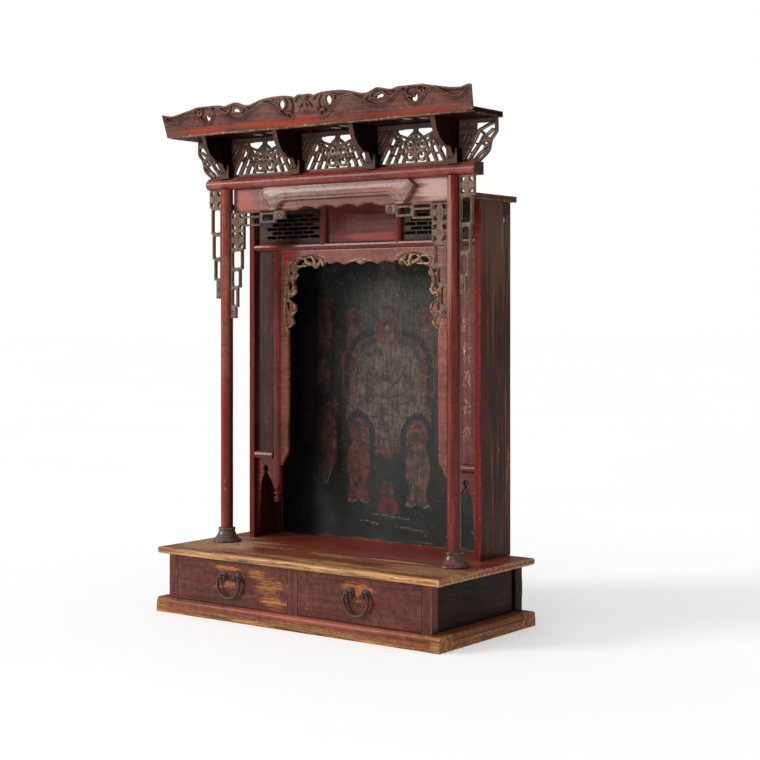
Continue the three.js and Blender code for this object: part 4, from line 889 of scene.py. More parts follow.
def crest():
    b = Board(-CREST_FOOT, CREST_FOOT, 0, CREST_RISE, 1.36)
    top = smooth_line([(x, CREST_RISE - d) for x, d in CREST_TOP], 5)
    outline = np.vstack([flipped(top[::-1])[:-1], top, [(CREST_FOOT, 0), (-CREST_FOOT, 0)]])
    b.shape(outline)
    line = smooth_line([(x, CREST_RISE - d) for x, d in CREST_LINE], 7)
    above = np.vstack([
        line, [(CREST_FOOT - 2, CREST_RISE - 18)], top[::-1], [(0, CREST_RISE - 34), (30, CREST_RISE - 40)]])
    for turn in BOTH:
        b.hollow(turn(above), 3.4, 9)
        # Double bead along the wave.
        b.groove(turn(line), 6.6, 0.9, False, 2)
        b.ridge(turn(line), 4.6, 1.7, False, 1.4)
        b.groove(turn(line), 1.5, 2, False)
        # Rounded lip along the top edge.
        lip = [(x, CREST_RISE - d - 2.2) for x, d in CREST_TOP]
        b.ridge(turn(lip), 2.6, 0.6)
        # Curled strands, hollows and knobs between the bead and the lip.
        for points, radii, height in (
            ([(46, 17), (40, 24), (46, 32), (56, 34), (60, 27)], (2.4, 3, 3.4, 2.6, 1.4), 2),
            ([
                (84, 50), (90, 60), (82, 70), (70, 72), (60, 66), (57, 56),
                (62, 47)], (2, 3, 3, 2.6, 2.6, 2.4, 1.8), 1.2),
            ([(44, 40), (40, 52), (46, 64), (58, 72)], (1.6, 2.6, 2.8, 1.4), 0.9),
            ([(92, 66), (112, 70), (134, 66), (152, 58)], (1.4, 2.4, 2.4, 1.2), 0.2),
            ([(198, 64), (186, 56), (178, 50), (176, 44)], (3.6, 3, 2.2, 1.2), 0.8),
            ([(206, 66), (196, 58), (198, 50), (208, 48)], (2.6, 2.6, 2.2, 1.4), 0.9),
            ([(234, 64), (240, 54), (250, 48), (262, 52), (272, 60)], (1.6, 2.4, 2.4, 2.4, 1.4), 0.4),
            ([(262, 66), (276, 62), (290, 66)], (2, 3.4, 2), 0.4),
            ([(300, 64), (296, 54), (302, 46), (312, 44)], (1.4, 2.4, 2.8, 1.6), 0.8),
            ([(330, 62), (334, 52), (346, 46), (356, 50)], (2.4, 2.8, 2.4, 1.4), 0.9),
            ([(352, 64), (362, 58), (370, 60)], (2.2, 2.6, 1.2), 0.5),
            ([(392, 50), (414, 40), (436, 36), (452, 44)], (1.2, 2.2, 2.2, 1), 0.1)
        ):
            b.ridge(turn(points), radii, height)
        # Leaf tip below the first hole.
        b.ridge(turn([(46, 15), (56, 22), (70, 25), (84, 36)]), (1.2, 3.4, 3.8, 1.6), 1.6)
        b.groove(turn([(50, 18), (62, 24), (78, 32)]), (0.8, 1.2, 0.8), 1.4)
        # Piercings.
        b.shape(turn(oval(72, CREST_RISE - 20, 9.5, 10.5, 0.4)), cut=True)
        b.shape(turn(smooth_line([
            (206, 46), (212, 53), (222, 57), (231, 54), (228, 50), (218, 49)], 5)), cut=True)
        b.shape(turn(smooth_line([
            (308, 42), (309, 36), (316, 33), (323, 36), (325, 44), (322, 52), (319, 47),
            (315, 42)], 5)), cut=True)
        b.shape(turn(oval(341, CREST_RISE - 22, 3.4, 4.2, 0)), cut=True)
        for cx, cz, rx, rz in ((72, CREST_RISE - 20, 11.4, 12.4), (341, CREST_RISE - 22, 5.2, 6)):
            b.ridge(turn(closed_line(oval(cx, cz, rx, rz, 0.3, 26))), 1.7, 0.9, False)
        # Knobs on the top edge.
        for x, drop, r in (
            (203, 12, 4.2), (212, 9, 3.2), (27, 12, 3.6), (300, 11, 3.8), (348, 12, 4), (356, 15, 3)
        ):
            b.ridge(turn([(x, CREST_RISE - drop), (x + 0.5, CREST_RISE - drop - 0.5)]), r, 1.6)
    # Pendant in the middle.
    b.ridge([(0, 70), (0, 40)], (5, 3), 1.4)
    b.ridge(oval(0, 33, 6, 5.5, 0, 20), 1.8, 1.8)
    b.ridge([(-9, 66), (0, 71), (9, 66)], (2, 3, 2), 2.2)
    b.groove([(0, 60), (0, 48)], (1.2, 0.9), 1.6)
    for turn in BOTH:
        b.ridge(turn([(4, 58), (14, 50), (18, 40), (26, 34), (36, 36)]), (2, 2.6, 2.4, 2.2, 1.2), 0.8)
        b.ridge(turn([(4, 46), (10, 36), (14, 28)]), (1.8, 2, 1), 0.8)
    for x in (-389, -275, -127, -9.5, 239, 352, 437):
        at = b.near([(x, 2)], 6)
        b.extra[at] += np.clip(1.4 - np.hypot(b.px[at] - x, (b.pz[at] - 2.4) * 1.2) / 3.2, 0, 1.2)
    low_edge = np.clip(1 - b.pz / 5, 0, 1) * 0.55
    b.extra += low_edge * (0.6 + 0.4 * np.sin(b.px * 0.13) * np.sin(b.px * 0.029 + 1))
    flare = HALF_WIDTH / CREST_FOOT - 1
    corner = CREST_RISE - CREST_TOP[-1][1]

    def place(u, back, w):
        x = u * (1 + flare * np.minimum(w, corner) / corner)
        return np.stack([x, CREST_FRONT + back - CREST_LEAN * w, CREST_LOW + w], 1)

    b.build("crest_carving", "crest", CREST_T, place, crest_look, 1.3, 3.2, "red_lacquer", 2.4, 0.3)


crest()


def scallops(x0, x1, count, low, rise, steps=9):
    points = []
    for i in range(count):
        for k in range(steps):
            t = k / steps
            points.append((x0 + (x1 - x0) * (i + t) / count, low + rise * math.sin(math.pi * t)))
    points.append((x1, low))
    return points


apron_board_look = carved_lacquer(
    "apron_board_finish", ((124, 70, 60), (94, 50, 43), (146, 88, 76)), edge_wear=0.5, wood=(196, 156, 120),
    under=(168, 112, 90), streak=0.6, flecks=0.2, glow=(0.3, 0.55), coat=0.25,
    tints=[
        ((170, 78, 60), (-304, -20, 1036), (44, 16, 44), 0.75, 2.4),
        ((166, 66, 48), (-270, -20, 1020), (60, 14, 14), 0.8, 1.6),
        ((34, 24, 20), (-320, -20, 1017), (6, 14, 5), 1.0),
        ((34, 24, 20), (306.5, -20, 1018.6), (5, 14, 5), 1.0),
        ((112, 40, 33), (0, -20, 1028), (190, 14, 20), 0.5),
        # Painted sheen: a lighter, greyer area on the right part.
        ((192, 156, 146), (300, -20, 1050), (80, 14, 50), 0.8, 1.5)])
plaque_look = carved_lacquer(
    "plaque_finish", ((146, 112, 102), (108, 78, 70), (172, 138, 124)), edge_wear=0.36, wood=(196, 160, 128),
    under=(150, 112, 90), streak=0.8, flecks=0.2, glow=(0.3, 0.5), coat=0.25, dirt=0.8,
    tints=[((138, 70, 58), (120, -33, 1050), (200, 14, 12), 0.5)])


def apron_board():
    half, high, low = POST_X - POST_R - GAP, BEAM_LOW - GAP, BEAM_LOW - APRON_H
    b = Board(-half, half, low, high, 2.1)
    b.shape([(-half, high), (-half, low)] + scallops(-130, 130, 4, low, 8) + [(half, low), (half, high)])
    b.build(
        "apron_board_scalloped", "apron_board", APRON_T, placed(APRON_FRONT), apron_board_look, 1.0, 3.0,
        "red_lacquer")


def plaque():
    high, low = BEAM_LOW - GAP, BEAM_LOW - APRON_H
    half = [
        (224, high), (241, high - 15), (209, low), (187, low), (183, low + 10), (178, low + 18),
        (168, low + 23.5), (158, low + 25)]
    b = Board(-241, 241, low, high, 1.5)
    b.shape(half + mirrored(half))
    # Fillet line that follows the outline, with a shallow groove inside it.
    d = b.inside
    rim = np.clip(1 - np.abs(d - 3.6) / 1.5, 0, 1) * (b.pz < high - 6)
    groove = np.clip(1 - np.abs(d - 6.6) / 1.6, 0, 1) * (b.pz < high - 8)
    b.high += -1.1 + 1.1 * rim - 0.9 * groove + np.clip((d - 9) / 14, 0, 1) * 1.0
    b.build("plaque_moulded", "apron_plaque", 12.7, placed(APRON_FRONT - 13), plaque_look, 1.4, 3.0)


apron_board()
plaque()

# Openwork beside the posts: reach from the post, low edge, kind of piercing.
OUTER_CELLS = (
    (42, 1026, "leaf"), (35.5, 958, "slot"), (32, 893, "slot"), (25.5, 838, "slot"), (18, 791, "end"))
INNER_CELLS = (
    (44.5, 966, "leaf"), (44.5, 917, "leaf"), (38.5, 866, "slot"), (31.5, 819, "slot"), (23, 769, "slot"),
    (17, 740, "end"))
INNER_ARM = ((237, 976, 1015, "double"), (189.5, 983, 1009, "slot"), (157, 991, 1012, "end"))


def rectangle(x0, x1, z0, z1):
    return [(x0, z0), (x1, z0), (x1, z1), (x0, z1)]


def fret_cell(b, kind, x0, x1, z0, z1):
    """One cell of the openwork; x0 < x1."""
    bar = FRET_BAR
    cx, cz = (x0 + x1) / 2, (z0 + z1) / 2
    if kind == "leaf":
        b.shape(rectangle(x0 + bar, x1 - bar, z0 + bar, z1 - bar), cut=True)
        ex, ez = (x1 - x0) / 2 - bar + 1, (z1 - z0) / 2 - bar + 1

        def across(u, w):
            return [(cx - ex * u, cz - ez * w), (cx, cz), (cx + ex * u, cz + ez * w)]

        for ux, uz in ((-ex, -ez), (ex, -ez), (ex, ez), (-ex, ez)):
            leaf = [(cx + ux, cz + uz * 0.15), (cx + ux * 0.5, cz + uz * 0.34), (cx + ux * 0.1, cz + uz)]
            b.stroke(leaf, (2.6, 3.4, 2.4), top=1.2)
        b.stroke(across(0.9, 0.2), (3.6, 6.2, 3.6), top=1.8)
        b.stroke(across(0.1, 0.9), (3, 5.6, 3), top=1.6)
        b.groove(oval(cx, cz, 4.6, 4.2, 0.3, 16), 1.2, 1.4)
        b.groove(across(0.8, 0.7), (1, 1.2, 1), 1.2)
    elif kind == "slot":
        b.shape(rectangle(x0 + bar, x1 - bar, z0 + bar, z1 - bar), cut=True)
        for x in (x0 + bar, x1 - bar):
            for z in (z0 + bar, z1 - bar):
                b.stroke([(x, z), (x + 0.1, z)], (2.2, 2.2), top=0.6)
    elif kind == "double":
        middle = cz + 4
        b.shape(rectangle(x0 + bar, x1 - bar, z0 + bar, middle - bar / 2), cut=True)
        b.shape(rectangle(x0 + bar, x1 - bar, middle + bar / 2, z1 - bar), cut=True)
    elif kind == "end":
        r = min(x1 - x0, z1 - z0) * 0.24
        b.groove(oval(cx, cz, r, r, 0, 16), 1.1, 1.3)
        b.ridge([(cx, cz), (cx + 0.1, cz)], (2, 2), 0.6)
        b.groove([(x0 + 2, z0 + 3.4), (x1 - 2, z0 + 3.4)], 0.8, 1)


def fret_steps(b, steps, high, span):
    """Adds a fret's steps from the top down and lists their cells; span gives a step's ends in x."""
    top, cells = high, []
    for reach, low, kind in steps:
        b.shape(rectangle(*span(reach), low, top + (0 if top == high else 1)))
        cells.append((kind, *span(reach), low, top))
        top = low
    return cells


def build_fret(b, cells, name, side):
    for cell in cells:
        fret_cell(b, *cell)
    # A fine groove along every edge.
    b.high += -0.7 * np.clip(1 - np.abs(b.inside - 2.4) / 0.9, 0, 1)
    b.build(f"openwork_{name}", f"fret_{name}", FRET_T, placed(FRET_FRONT, side=side), fret_look, 0.9, 1.8)


def outer_fret(label, side):
    start, high = POST_X + POST_R + GAP, BEAM_LOW - GAP
    b = Board(start, start + 42, 791, high, 1.0)
    cells = fret_steps(b, OUTER_CELLS, high, lambda reach: (start, start + reach))
    build_fret(b, cells, f"outer_{label}", side)


def inner_fret(label, side):
    start = POST_X - POST_R - GAP
    b = Board(157, start, 740, 1015, 1.0)
    cells = fret_steps(b, INNER_CELLS, 1012, lambda reach: (start - reach, start))
    begin = start - INNER_CELLS[0][0]
    for far, low, top, kind in INNER_ARM:
        b.shape(rectangle(far, begin + 1, low, top))
        cells.append((kind, far, begin, low, top))
        begin = far
    build_fret(b, cells, f"inner_{label}", side)


for label, side in SIDES:
    outer_fret(label, side)
    inner_fret(label, side)

# Pierced frieze. Strokes for the right half of a panel: points from its middle and its foot, radii, height.
FRIEZE_STRANDS = (
    ([(0, 5), (0, 14), (0, 26), (0, 38), (0, 52), (0, 66), (0, 80)], (2.6, 2.2, 2.2, 3, 2.2, 2.4, 4.4), 1.4),
    (oval(17, 25, 12.8, 11.6, 0.1, 22), 2.8, 1.6), ([(17, 25), (13, 29), (17, 34)], (1.6, 2.2, 2), 1.2),
    (oval(18, 51, 13, 11.8, -0.1, 22), 2.8, 1.6),
    ([(31, 54), (25, 48), (18, 48), (16, 53), (20, 56)], (2.4, 2.4, 2.4, 2.2, 1.4), 1.4),
    ([
        (0, 88), (2, 80), (10, 74.5), (22, 66.5), (34, 70), (48, 75),
        (60, 88)], (4.6, 3.8, 3.2, 2.8, 3, 3.4, 3.4), 1.6),
    ([(4, 66), (13, 64), (22, 62)], (2, 2, 2), 1),
    ([(28, 60), (36, 58), (42, 62), (46, 70)], (2, 2.4, 2.4, 2), 1.2),
    ([
        (52, 68), (45, 61), (44, 53), (50, 48), (57, 52), (55, 58),
        (51, 57)], (2.4, 2.6, 2.6, 2.4, 2.4, 1.9, 1.6), 1.6),
    ([(30, 22), (37, 28), (42, 36), (46, 42), (47, 50)], (2, 2.4, 2.4, 2.2, 1.8), 1.4),
    ([(30, 46), (35, 42), (37, 34)], (1.8, 2.2, 1.8), 1.2),
    ([(36, 6), (35, 14), (31, 21)], (2.8, 3, 2.4), 1.4),
    ([(61, 6), (56, 18), (50, 30), (46, 42)], (3.4, 3.8, 3.4, 2.6), 1.8),
    ([(85, 6), (76, 22), (67, 38), (59, 52), (54, 62)], (3.4, 3.9, 3.7, 3.1, 2.4), 1.8),
    ([(67, 36), (74, 44), (71, 52)], (1.8, 2.4, 1.8), 1.2),
    ([(54, 62), (60, 72), (66, 82)], (2.6, 3, 3), 1.4), ([(53, 24), (62, 27), (73, 28)], (2, 2, 2), 1))
FRIEZE_LEAF = [(103, 8), (96, 22), (86, 38), (76, 54), (69, 68), (66, 80), (63, 90)]


def carve_strands(b, strands, turns=(as_points,)):
    """Round-backed strands; those of 22 points are oval rings."""
    for points, radii, height in strands:
        ring = len(points) == 22
        for turn in turns:
            b.stroke(turn(closed_line(points) if ring else points), radii, height, line=not ring)


def frieze_panel(label, x0, x1):
    middle, half = (x0 + x1) / 2, (x1 - x0) / 2 - CUP_REACH
    wide, high, shoulder = (x1 - x0) / 2 - BRACKET_REACH, FRIEZE_H, FRIEZE_SHOULDER
    b = Board(-wide, wide, 0, high, 1.15)
    b.high += -1.6
    b.shape(rectangle(-half, half, 0, FRIEZE_FOOT))
    b.shape(rectangle(-wide, wide, 87, high))
    for turn in BOTH:
        b.shape(turn(
            [(half, 0), (half, shoulder), (wide, shoulder), (wide, high), (62, high)] + FRIEZE_LEAF[::-1]))
    carve_strands(b, FRIEZE_STRANDS, BOTH)
    for turn in BOTH:
        b.ridge(turn([(100, 10), (90, 30), (79, 50), (71, 70), (68, 84)]), (2.6, 3, 3.2, 3.2, 2.6), 1.8)
        for points in (
            [(108, 44), (92, 58), (80, 80)], [(108, 60), (98, 72), (90, 86)], [(104, 36), (90, 50), (77, 68)]
        ):
            b.groove(turn(points), (0.9, 1.5, 0.8), 1.5)
        for points in ([(106, 50), (94, 64), (84, 84)], [(106, 68), (100, 80), (98, 88)]):
            b.ridge(turn(points), (1.6, 3, 1.4), 1)
        for points, *_ in FRIEZE_STRANDS[11:14]:
            b.groove(turn(points), 0.9, 1.2)
        b.shape(turn([
            (4.5, 88), (41, 88), (35, 84.5), (38.5, 81.5), (33, 80), (27, 75), (23, 70.5), (17, 76),
            (9, 81)]), cut=True)
        b.shape(turn([(44, 76), (50, 79.5), (54, 84), (48, 82), (43, 79)]), cut=True)
    b.stroke([(0, 36), (0, 41)], (3.6, 3.6), top=1.8)
    b.high[b.pz < FRIEZE_FOOT] = np.maximum(b.high[b.pz < FRIEZE_FOOT], -0.2)
    b.high[b.pz > 88] = np.maximum(b.high[b.pz > 88], -0.4)
    b.extra += 0.25 * (b.pz < FRIEZE_FOOT)
    b.extra -= 0.35 * (b.pz > 87)

    place = placed(FRIEZE_FRONT, middle, FRIEZE_LOW)
    b.build(f"frieze_carving_{label}", f"frieze_panel_{label}", FRIEZE_T, place, frieze_look, 0.9, 1.8)


for label, x0, x1 in zip(("left", "middle", "right"), CUPS, CUPS[1:]):
    frieze_panel(label, x0, x1)

# Strands of a wing, from its cup's side and its foot.
WING_STRANDS = (
    ([(4, 6), (14, 22), (26, 40), (38, 58), (46, 72)], (3, 3.4, 3.4, 3.2, 2.8), 1.8),
    ([(20, 6), (30, 20), (42, 34), (52, 46)], (3, 3.4, 3, 2.4), 1.8),
    ([(36, 6), (46, 16), (58, 24), (66, 34)], (2.8, 3, 2.8, 2.4), 1.6),
    (oval(66, 45, 9.6, 9.2, 0.3, 22), 2.4, 1.6), ([(66, 45), (68, 49), (64, 50)], (2.4, 2.4, 2), 1.2),
    ([(52, 46), (58, 56), (70, 62), (84, 72)], (2.4, 2.8, 2.8, 2.8), 1.6),
    ([(46, 72), (56, 66), (62, 58)], (2.4, 2.4, 2), 1.4),
    ([(46, 72), (60, 78), (74, 84), (92, 88)], (2.8, 3, 3, 3.2), 1.4), ([(24, 22), (32, 22)], (1.8, 1.8), 1),
    ([(40, 42), (46, 38)], (1.8, 1.8), 1), ([(56, 40), (50, 46)], (2, 2), 1))


def wing(label, side):
    start = POST_X + CUP_REACH
    inner, outer, reach = BRACKET_REACH - CUP_REACH, ROOF_HALF_X - 2 - start, BEAM_HALF_X - start
    high, shoulder = FRIEZE_H, FRIEZE_SHOULDER
    edge = smooth_line([
        (reach - 1, 0), (reach + 24, 22), (reach + 31, 46), (reach + 45, 64), (outer + 1, 76),
        (outer, high)], 6)
    b = Board(inner, ROOF_HALF_X - start, 0, high, 1.15)
    b.high += -1.6
    outline = np.vstack([[(inner, high), (inner, shoulder), (0, shoulder), (0, 0)], edge])
    # The S-shaped border, the foot and the top rail stay; the middle is strands only.
    whole = polygon_distance(b.px, b.pz, outline)
    b.stroke(edge, 5.2, top=1.2, line=False)
    b.shape(rectangle(0, reach, 0, FRIEZE_FOOT))
    b.shape(rectangle(inner, outer, 89, high))
    b.shape([
        (inner, high), (inner, shoulder), (0, shoulder), (0, 6), (10, 22), (22, 42), (32, 60), (38, 76),
        (40, high)])
    carve_strands(b, WING_STRANDS)
    for points in ([(6, 34), (18, 52), (26, 76)], [(2, 48), (12, 66), (18, 86)]):
        b.ridge(points, (1.6, 3, 1.6), 1)
        b.groove(np.array(points) + [3, -5], (0.8, 1.4, 0.8), 1.4)
    for points, *_ in WING_STRANDS[:3]:
        b.groove(points, 0.9, 1.2)
    b.inside = np.minimum(b.inside, whole)

    place = placed(FRIEZE_FRONT, side * start, FRIEZE_LOW, side)
    b.build(f"frieze_wing_carving_{label}", f"frieze_wing_{label}", FRIEZE_T, place, frieze_look, 0.9, 1.8)


for label, side in SIDES:
    wing(label, side)

# Carved apron of the opening.
box_apron_look = carved_lacquer(
    "box_apron_finish", ((128, 70, 60), (94, 48, 41), (150, 90, 78)), edge_wear=0.62, wood=(178, 142, 104),
    under=(150, 104, 78), streak=0.4, flecks=0.3, glow=(0.32, 0.56), coat=0.2, dirt=0.9,
    tints=[
        ((184, 28, 24), (-243, 77, 897), (14, 12, 16), 1.0),
        ((184, 28, 24), (-228, 77, 906), (10, 12, 8), 0.9), ((130, 96, 74), (0, 77, 884), (34, 12, 12), 0.8)])


def box_apron():
    z = high = RAIL_LOW - GAP
    low, half = high - 40, HANGING_X - HANGING_R - GAP
    edge = half - 25
    leaves = [
        (104, low + 5), (112, z - 30), (124, z - 44), (132, z - 36), (146, z - 48), (158, z - 40),
        (178, z - 42), (196, z - 44), (212, z - 52), (206, z - 64), (217, z - 80), (211, z - 104),
        (222, z - 118), (236, z - 126), (212, z - 142), (214, z - 158), (226, z - 172), (217, z - 188),
        (edge, z - 202)]
    tail = [(edge - 2, z - 240), (edge, 402), (edge + 3, 384), (edge + 12, 376), (half - 4, 356), (half, 356)]
    right = np.vstack([scallops(0, 104, 2, low, 8)[:-1], smooth_line(leaves, 4), tail, [(half, high)]])
    b = Board(-half, half, 356, high, 1.5)
    b.shape(np.vstack([right[1:], flipped(right[::-1])]))
    scoops = (
        oval(197, z - 31, 14, 6.5, -0.35), oval(166, z - 26, 9, 5, 0.3), oval(143, z - 27, 7, 4.5, 0.9),
        oval(231, z - 90, 6.5, 15, 0.12), oval(238, z - 144, 5, 13, -0.2), oval(226, z - 60, 6, 4, 0.8))
    for turn in BOTH:
        field = smooth_line([
            (108, z - 40), (118, z - 20), (150, z - 12), (190, z - 12), (226, z - 24), (244, z - 60),
            (248, z - 120), (250, z - 170), (244, z - 206), (232, z - 214), (200, z - 214), (200, z - 60),
            (140, z - 60)], 4)
        b.hollow(turn(field), 1.6, 5)
        for hole in scoops:
            b.shape(turn(hole), cut=True)
        # Border ridge of the carved corner and down the side.
        b.ridge(turn([
            (104, z - 34), (112, z - 22), (132, z - 13), (160, z - 10), (196, z - 14), (224, z - 26),
            (240, z - 50), (246, z - 84), (248, z - 124), (250, z - 164), (244, z - 196),
            (238, z - 212)]), (2.2, 2.6, 2.4), 0.2)
        for points, radii, height in (
            ([(120, z - 40), (128, z - 30), (138, z - 38), (146, z - 46)], (1.6, 2.6, 2.4, 1.8), 0.2),
            ([(152, z - 44), (150, z - 32), (156, z - 20), (170, z - 17)], (2.4, 3.2, 2.6, 1.4), 0.4),
            ([
                (158, z - 40), (166, z - 35), (176, z - 31), (180, z - 24),
                (174, z - 20)], (1.8, 3, 3.4, 2.4, 1.4), 0.4),
            ([(178, z - 41), (190, z - 42), (206, z - 40), (214, z - 30)], (2.2, 3.2, 2.8, 1.4), 0.4),
            ([(184, z - 24), (196, z - 20), (210, z - 22)], (1.4, 2.2, 1.2), 0.1),
            ([
                (212, z - 52), (218, z - 60), (222, z - 74), (220, z - 92),
                (216, z - 104)], (2.2, 3, 2.8, 2.6, 2), 0.4),
            ([(232, z - 44), (236, z - 60), (240, z - 76), (240, z - 96)], (1.4, 2.4, 2.2, 1.2), 0.1),
            ([(212, z - 104), (220, z - 112), (232, z - 112), (236, z - 120)], (2, 3, 2.6, 1.6), 0.4),
            ([(236, z - 126), (226, z - 132), (218, z - 138), (214, z - 150)], (2, 3, 2.8, 2), 0.4),
            ([(214, z - 158), (222, z - 164), (228, z - 168), (236, z - 164)], (1.8, 2.8, 2.6, 1.4), 0.3),
            ([(226, z - 172), (222, z - 182), (228, z - 194), (238, z - 200)], (2, 2.8, 2.2, 1), 0.3),
            ([(140, z - 20), (150, z - 27)], (1.4, 2), 0)
        ):
            b.ridge(turn(points), tuple(1.25 * r for r in radii), height + 0.3)
            if len(points) > 3:
                b.groove(turn(points[1:]), 0.8, 1.1)
    # Small flower in the middle of the top.
    for turn in BOTH:
        b.ridge(turn([(4, 884), (12, 888), (24, 885), (36, 883)]), (2.4, 2, 1.8, 0.9), 1.3)
        b.ridge(turn([(3, 882), (12, 879), (26, 881)]), (1.8, 2, 0.9), 1.2)
    b.ridge([(0, 880), (0, 891)], (3.6, 2), 1.6)
    flower = b.near([(-34, 878), (34, 890)], 2)
    b.extra[flower] += 0.4 * np.clip(b.high[flower], 0, 1)
    corner = [(100, z - 60), (112, z - 14), (250, z - 10), (255, z - 214), (200, z - 214), (200, z - 60)]
    carved = np.maximum(polygon_distance(b.px, b.pz, corner), polygon_distance(-b.px, b.pz, corner))
    b.extra += 0.45 * (carved > 0)
    b.build(
        "box_apron_leaves", "box_apron_carved", BOX_APRON_T, placed(BOX_APRON_FRONT), box_apron_look, 1.1,
        2.6, "red_lacquer", 1.4)


box_apron()

# Narrow panels with a column of brush marks.
panel_left_look = carved_lacquer(
    "narrow_panel_left_finish", ((60, 36, 31), (36, 23, 20), (84, 46, 38)), axis="Z", edge_wear=0.3,
    wood=(128, 96, 78), under=(112, 66, 54), flecks=0.2, streak=0.6)
panel_right_look = carved_lacquer(
    "narrow_panel_right_finish", ((108, 60, 50), (78, 42, 36), (130, 78, 64)), axis="Z", edge_wear=0.5,
    wood=(160, 132, 112), under=(138, 104, 88), flecks=0.3, streak=0.6)


def marked_panel(label, side, look, seed, strength):
    x0, x1 = HANGING_X + HANGING_R + GAP, BOX_HALF_X - BOX_SIDE_T - GAP
    z0, z1 = SMALL_RAIL_TOP + GAP, RAIL_LOW - GAP
    b = Board(x0, x1, z0, z1, 2.0)
    b.shape(rectangle(x0, x1, z0, z1))
    draw = np.random.default_rng(seed)
    cx = (x0 + x1) / 2
    for row in range(9):
        cz = z1 - 122 - row * 66
        if cz < z0 + 24:
            break
        for _ in range(15):
            a = draw.choice([0.1, 1.5, 0.75, -0.7]) + draw.normal(0, 0.2)
            length = draw.uniform(8, 22)
            x, z = cx + draw.uniform(-9, 9), cz + draw.uniform(-18, 18)
            ends = [
                (x - math.cos(a) * length / 2, z - math.sin(a) * length / 2),
                (x + draw.uniform(-1, 1), z + draw.uniform(-1, 1)),
                (x + math.cos(a) * length / 2, z + math.sin(a) * length / 2)]
            before = b.high.copy()
            b.ridge(ends, (1.5, 2.3, 1.4), 0.35)
            b.extra += strength * np.clip((b.high - before) * 3.5, 0, 1)
    name = f"narrow_panel_marked_{label}"
    b.build(name, f"narrow_panel_{label}", 7, placed(81, side=side), look, 0.0, 4, "brown_red_lacquer")


marked_panel("left", -1, panel_left_look, 11, 0.55)
marked_panel("right", 1, panel_right_look, 23, 0.75)


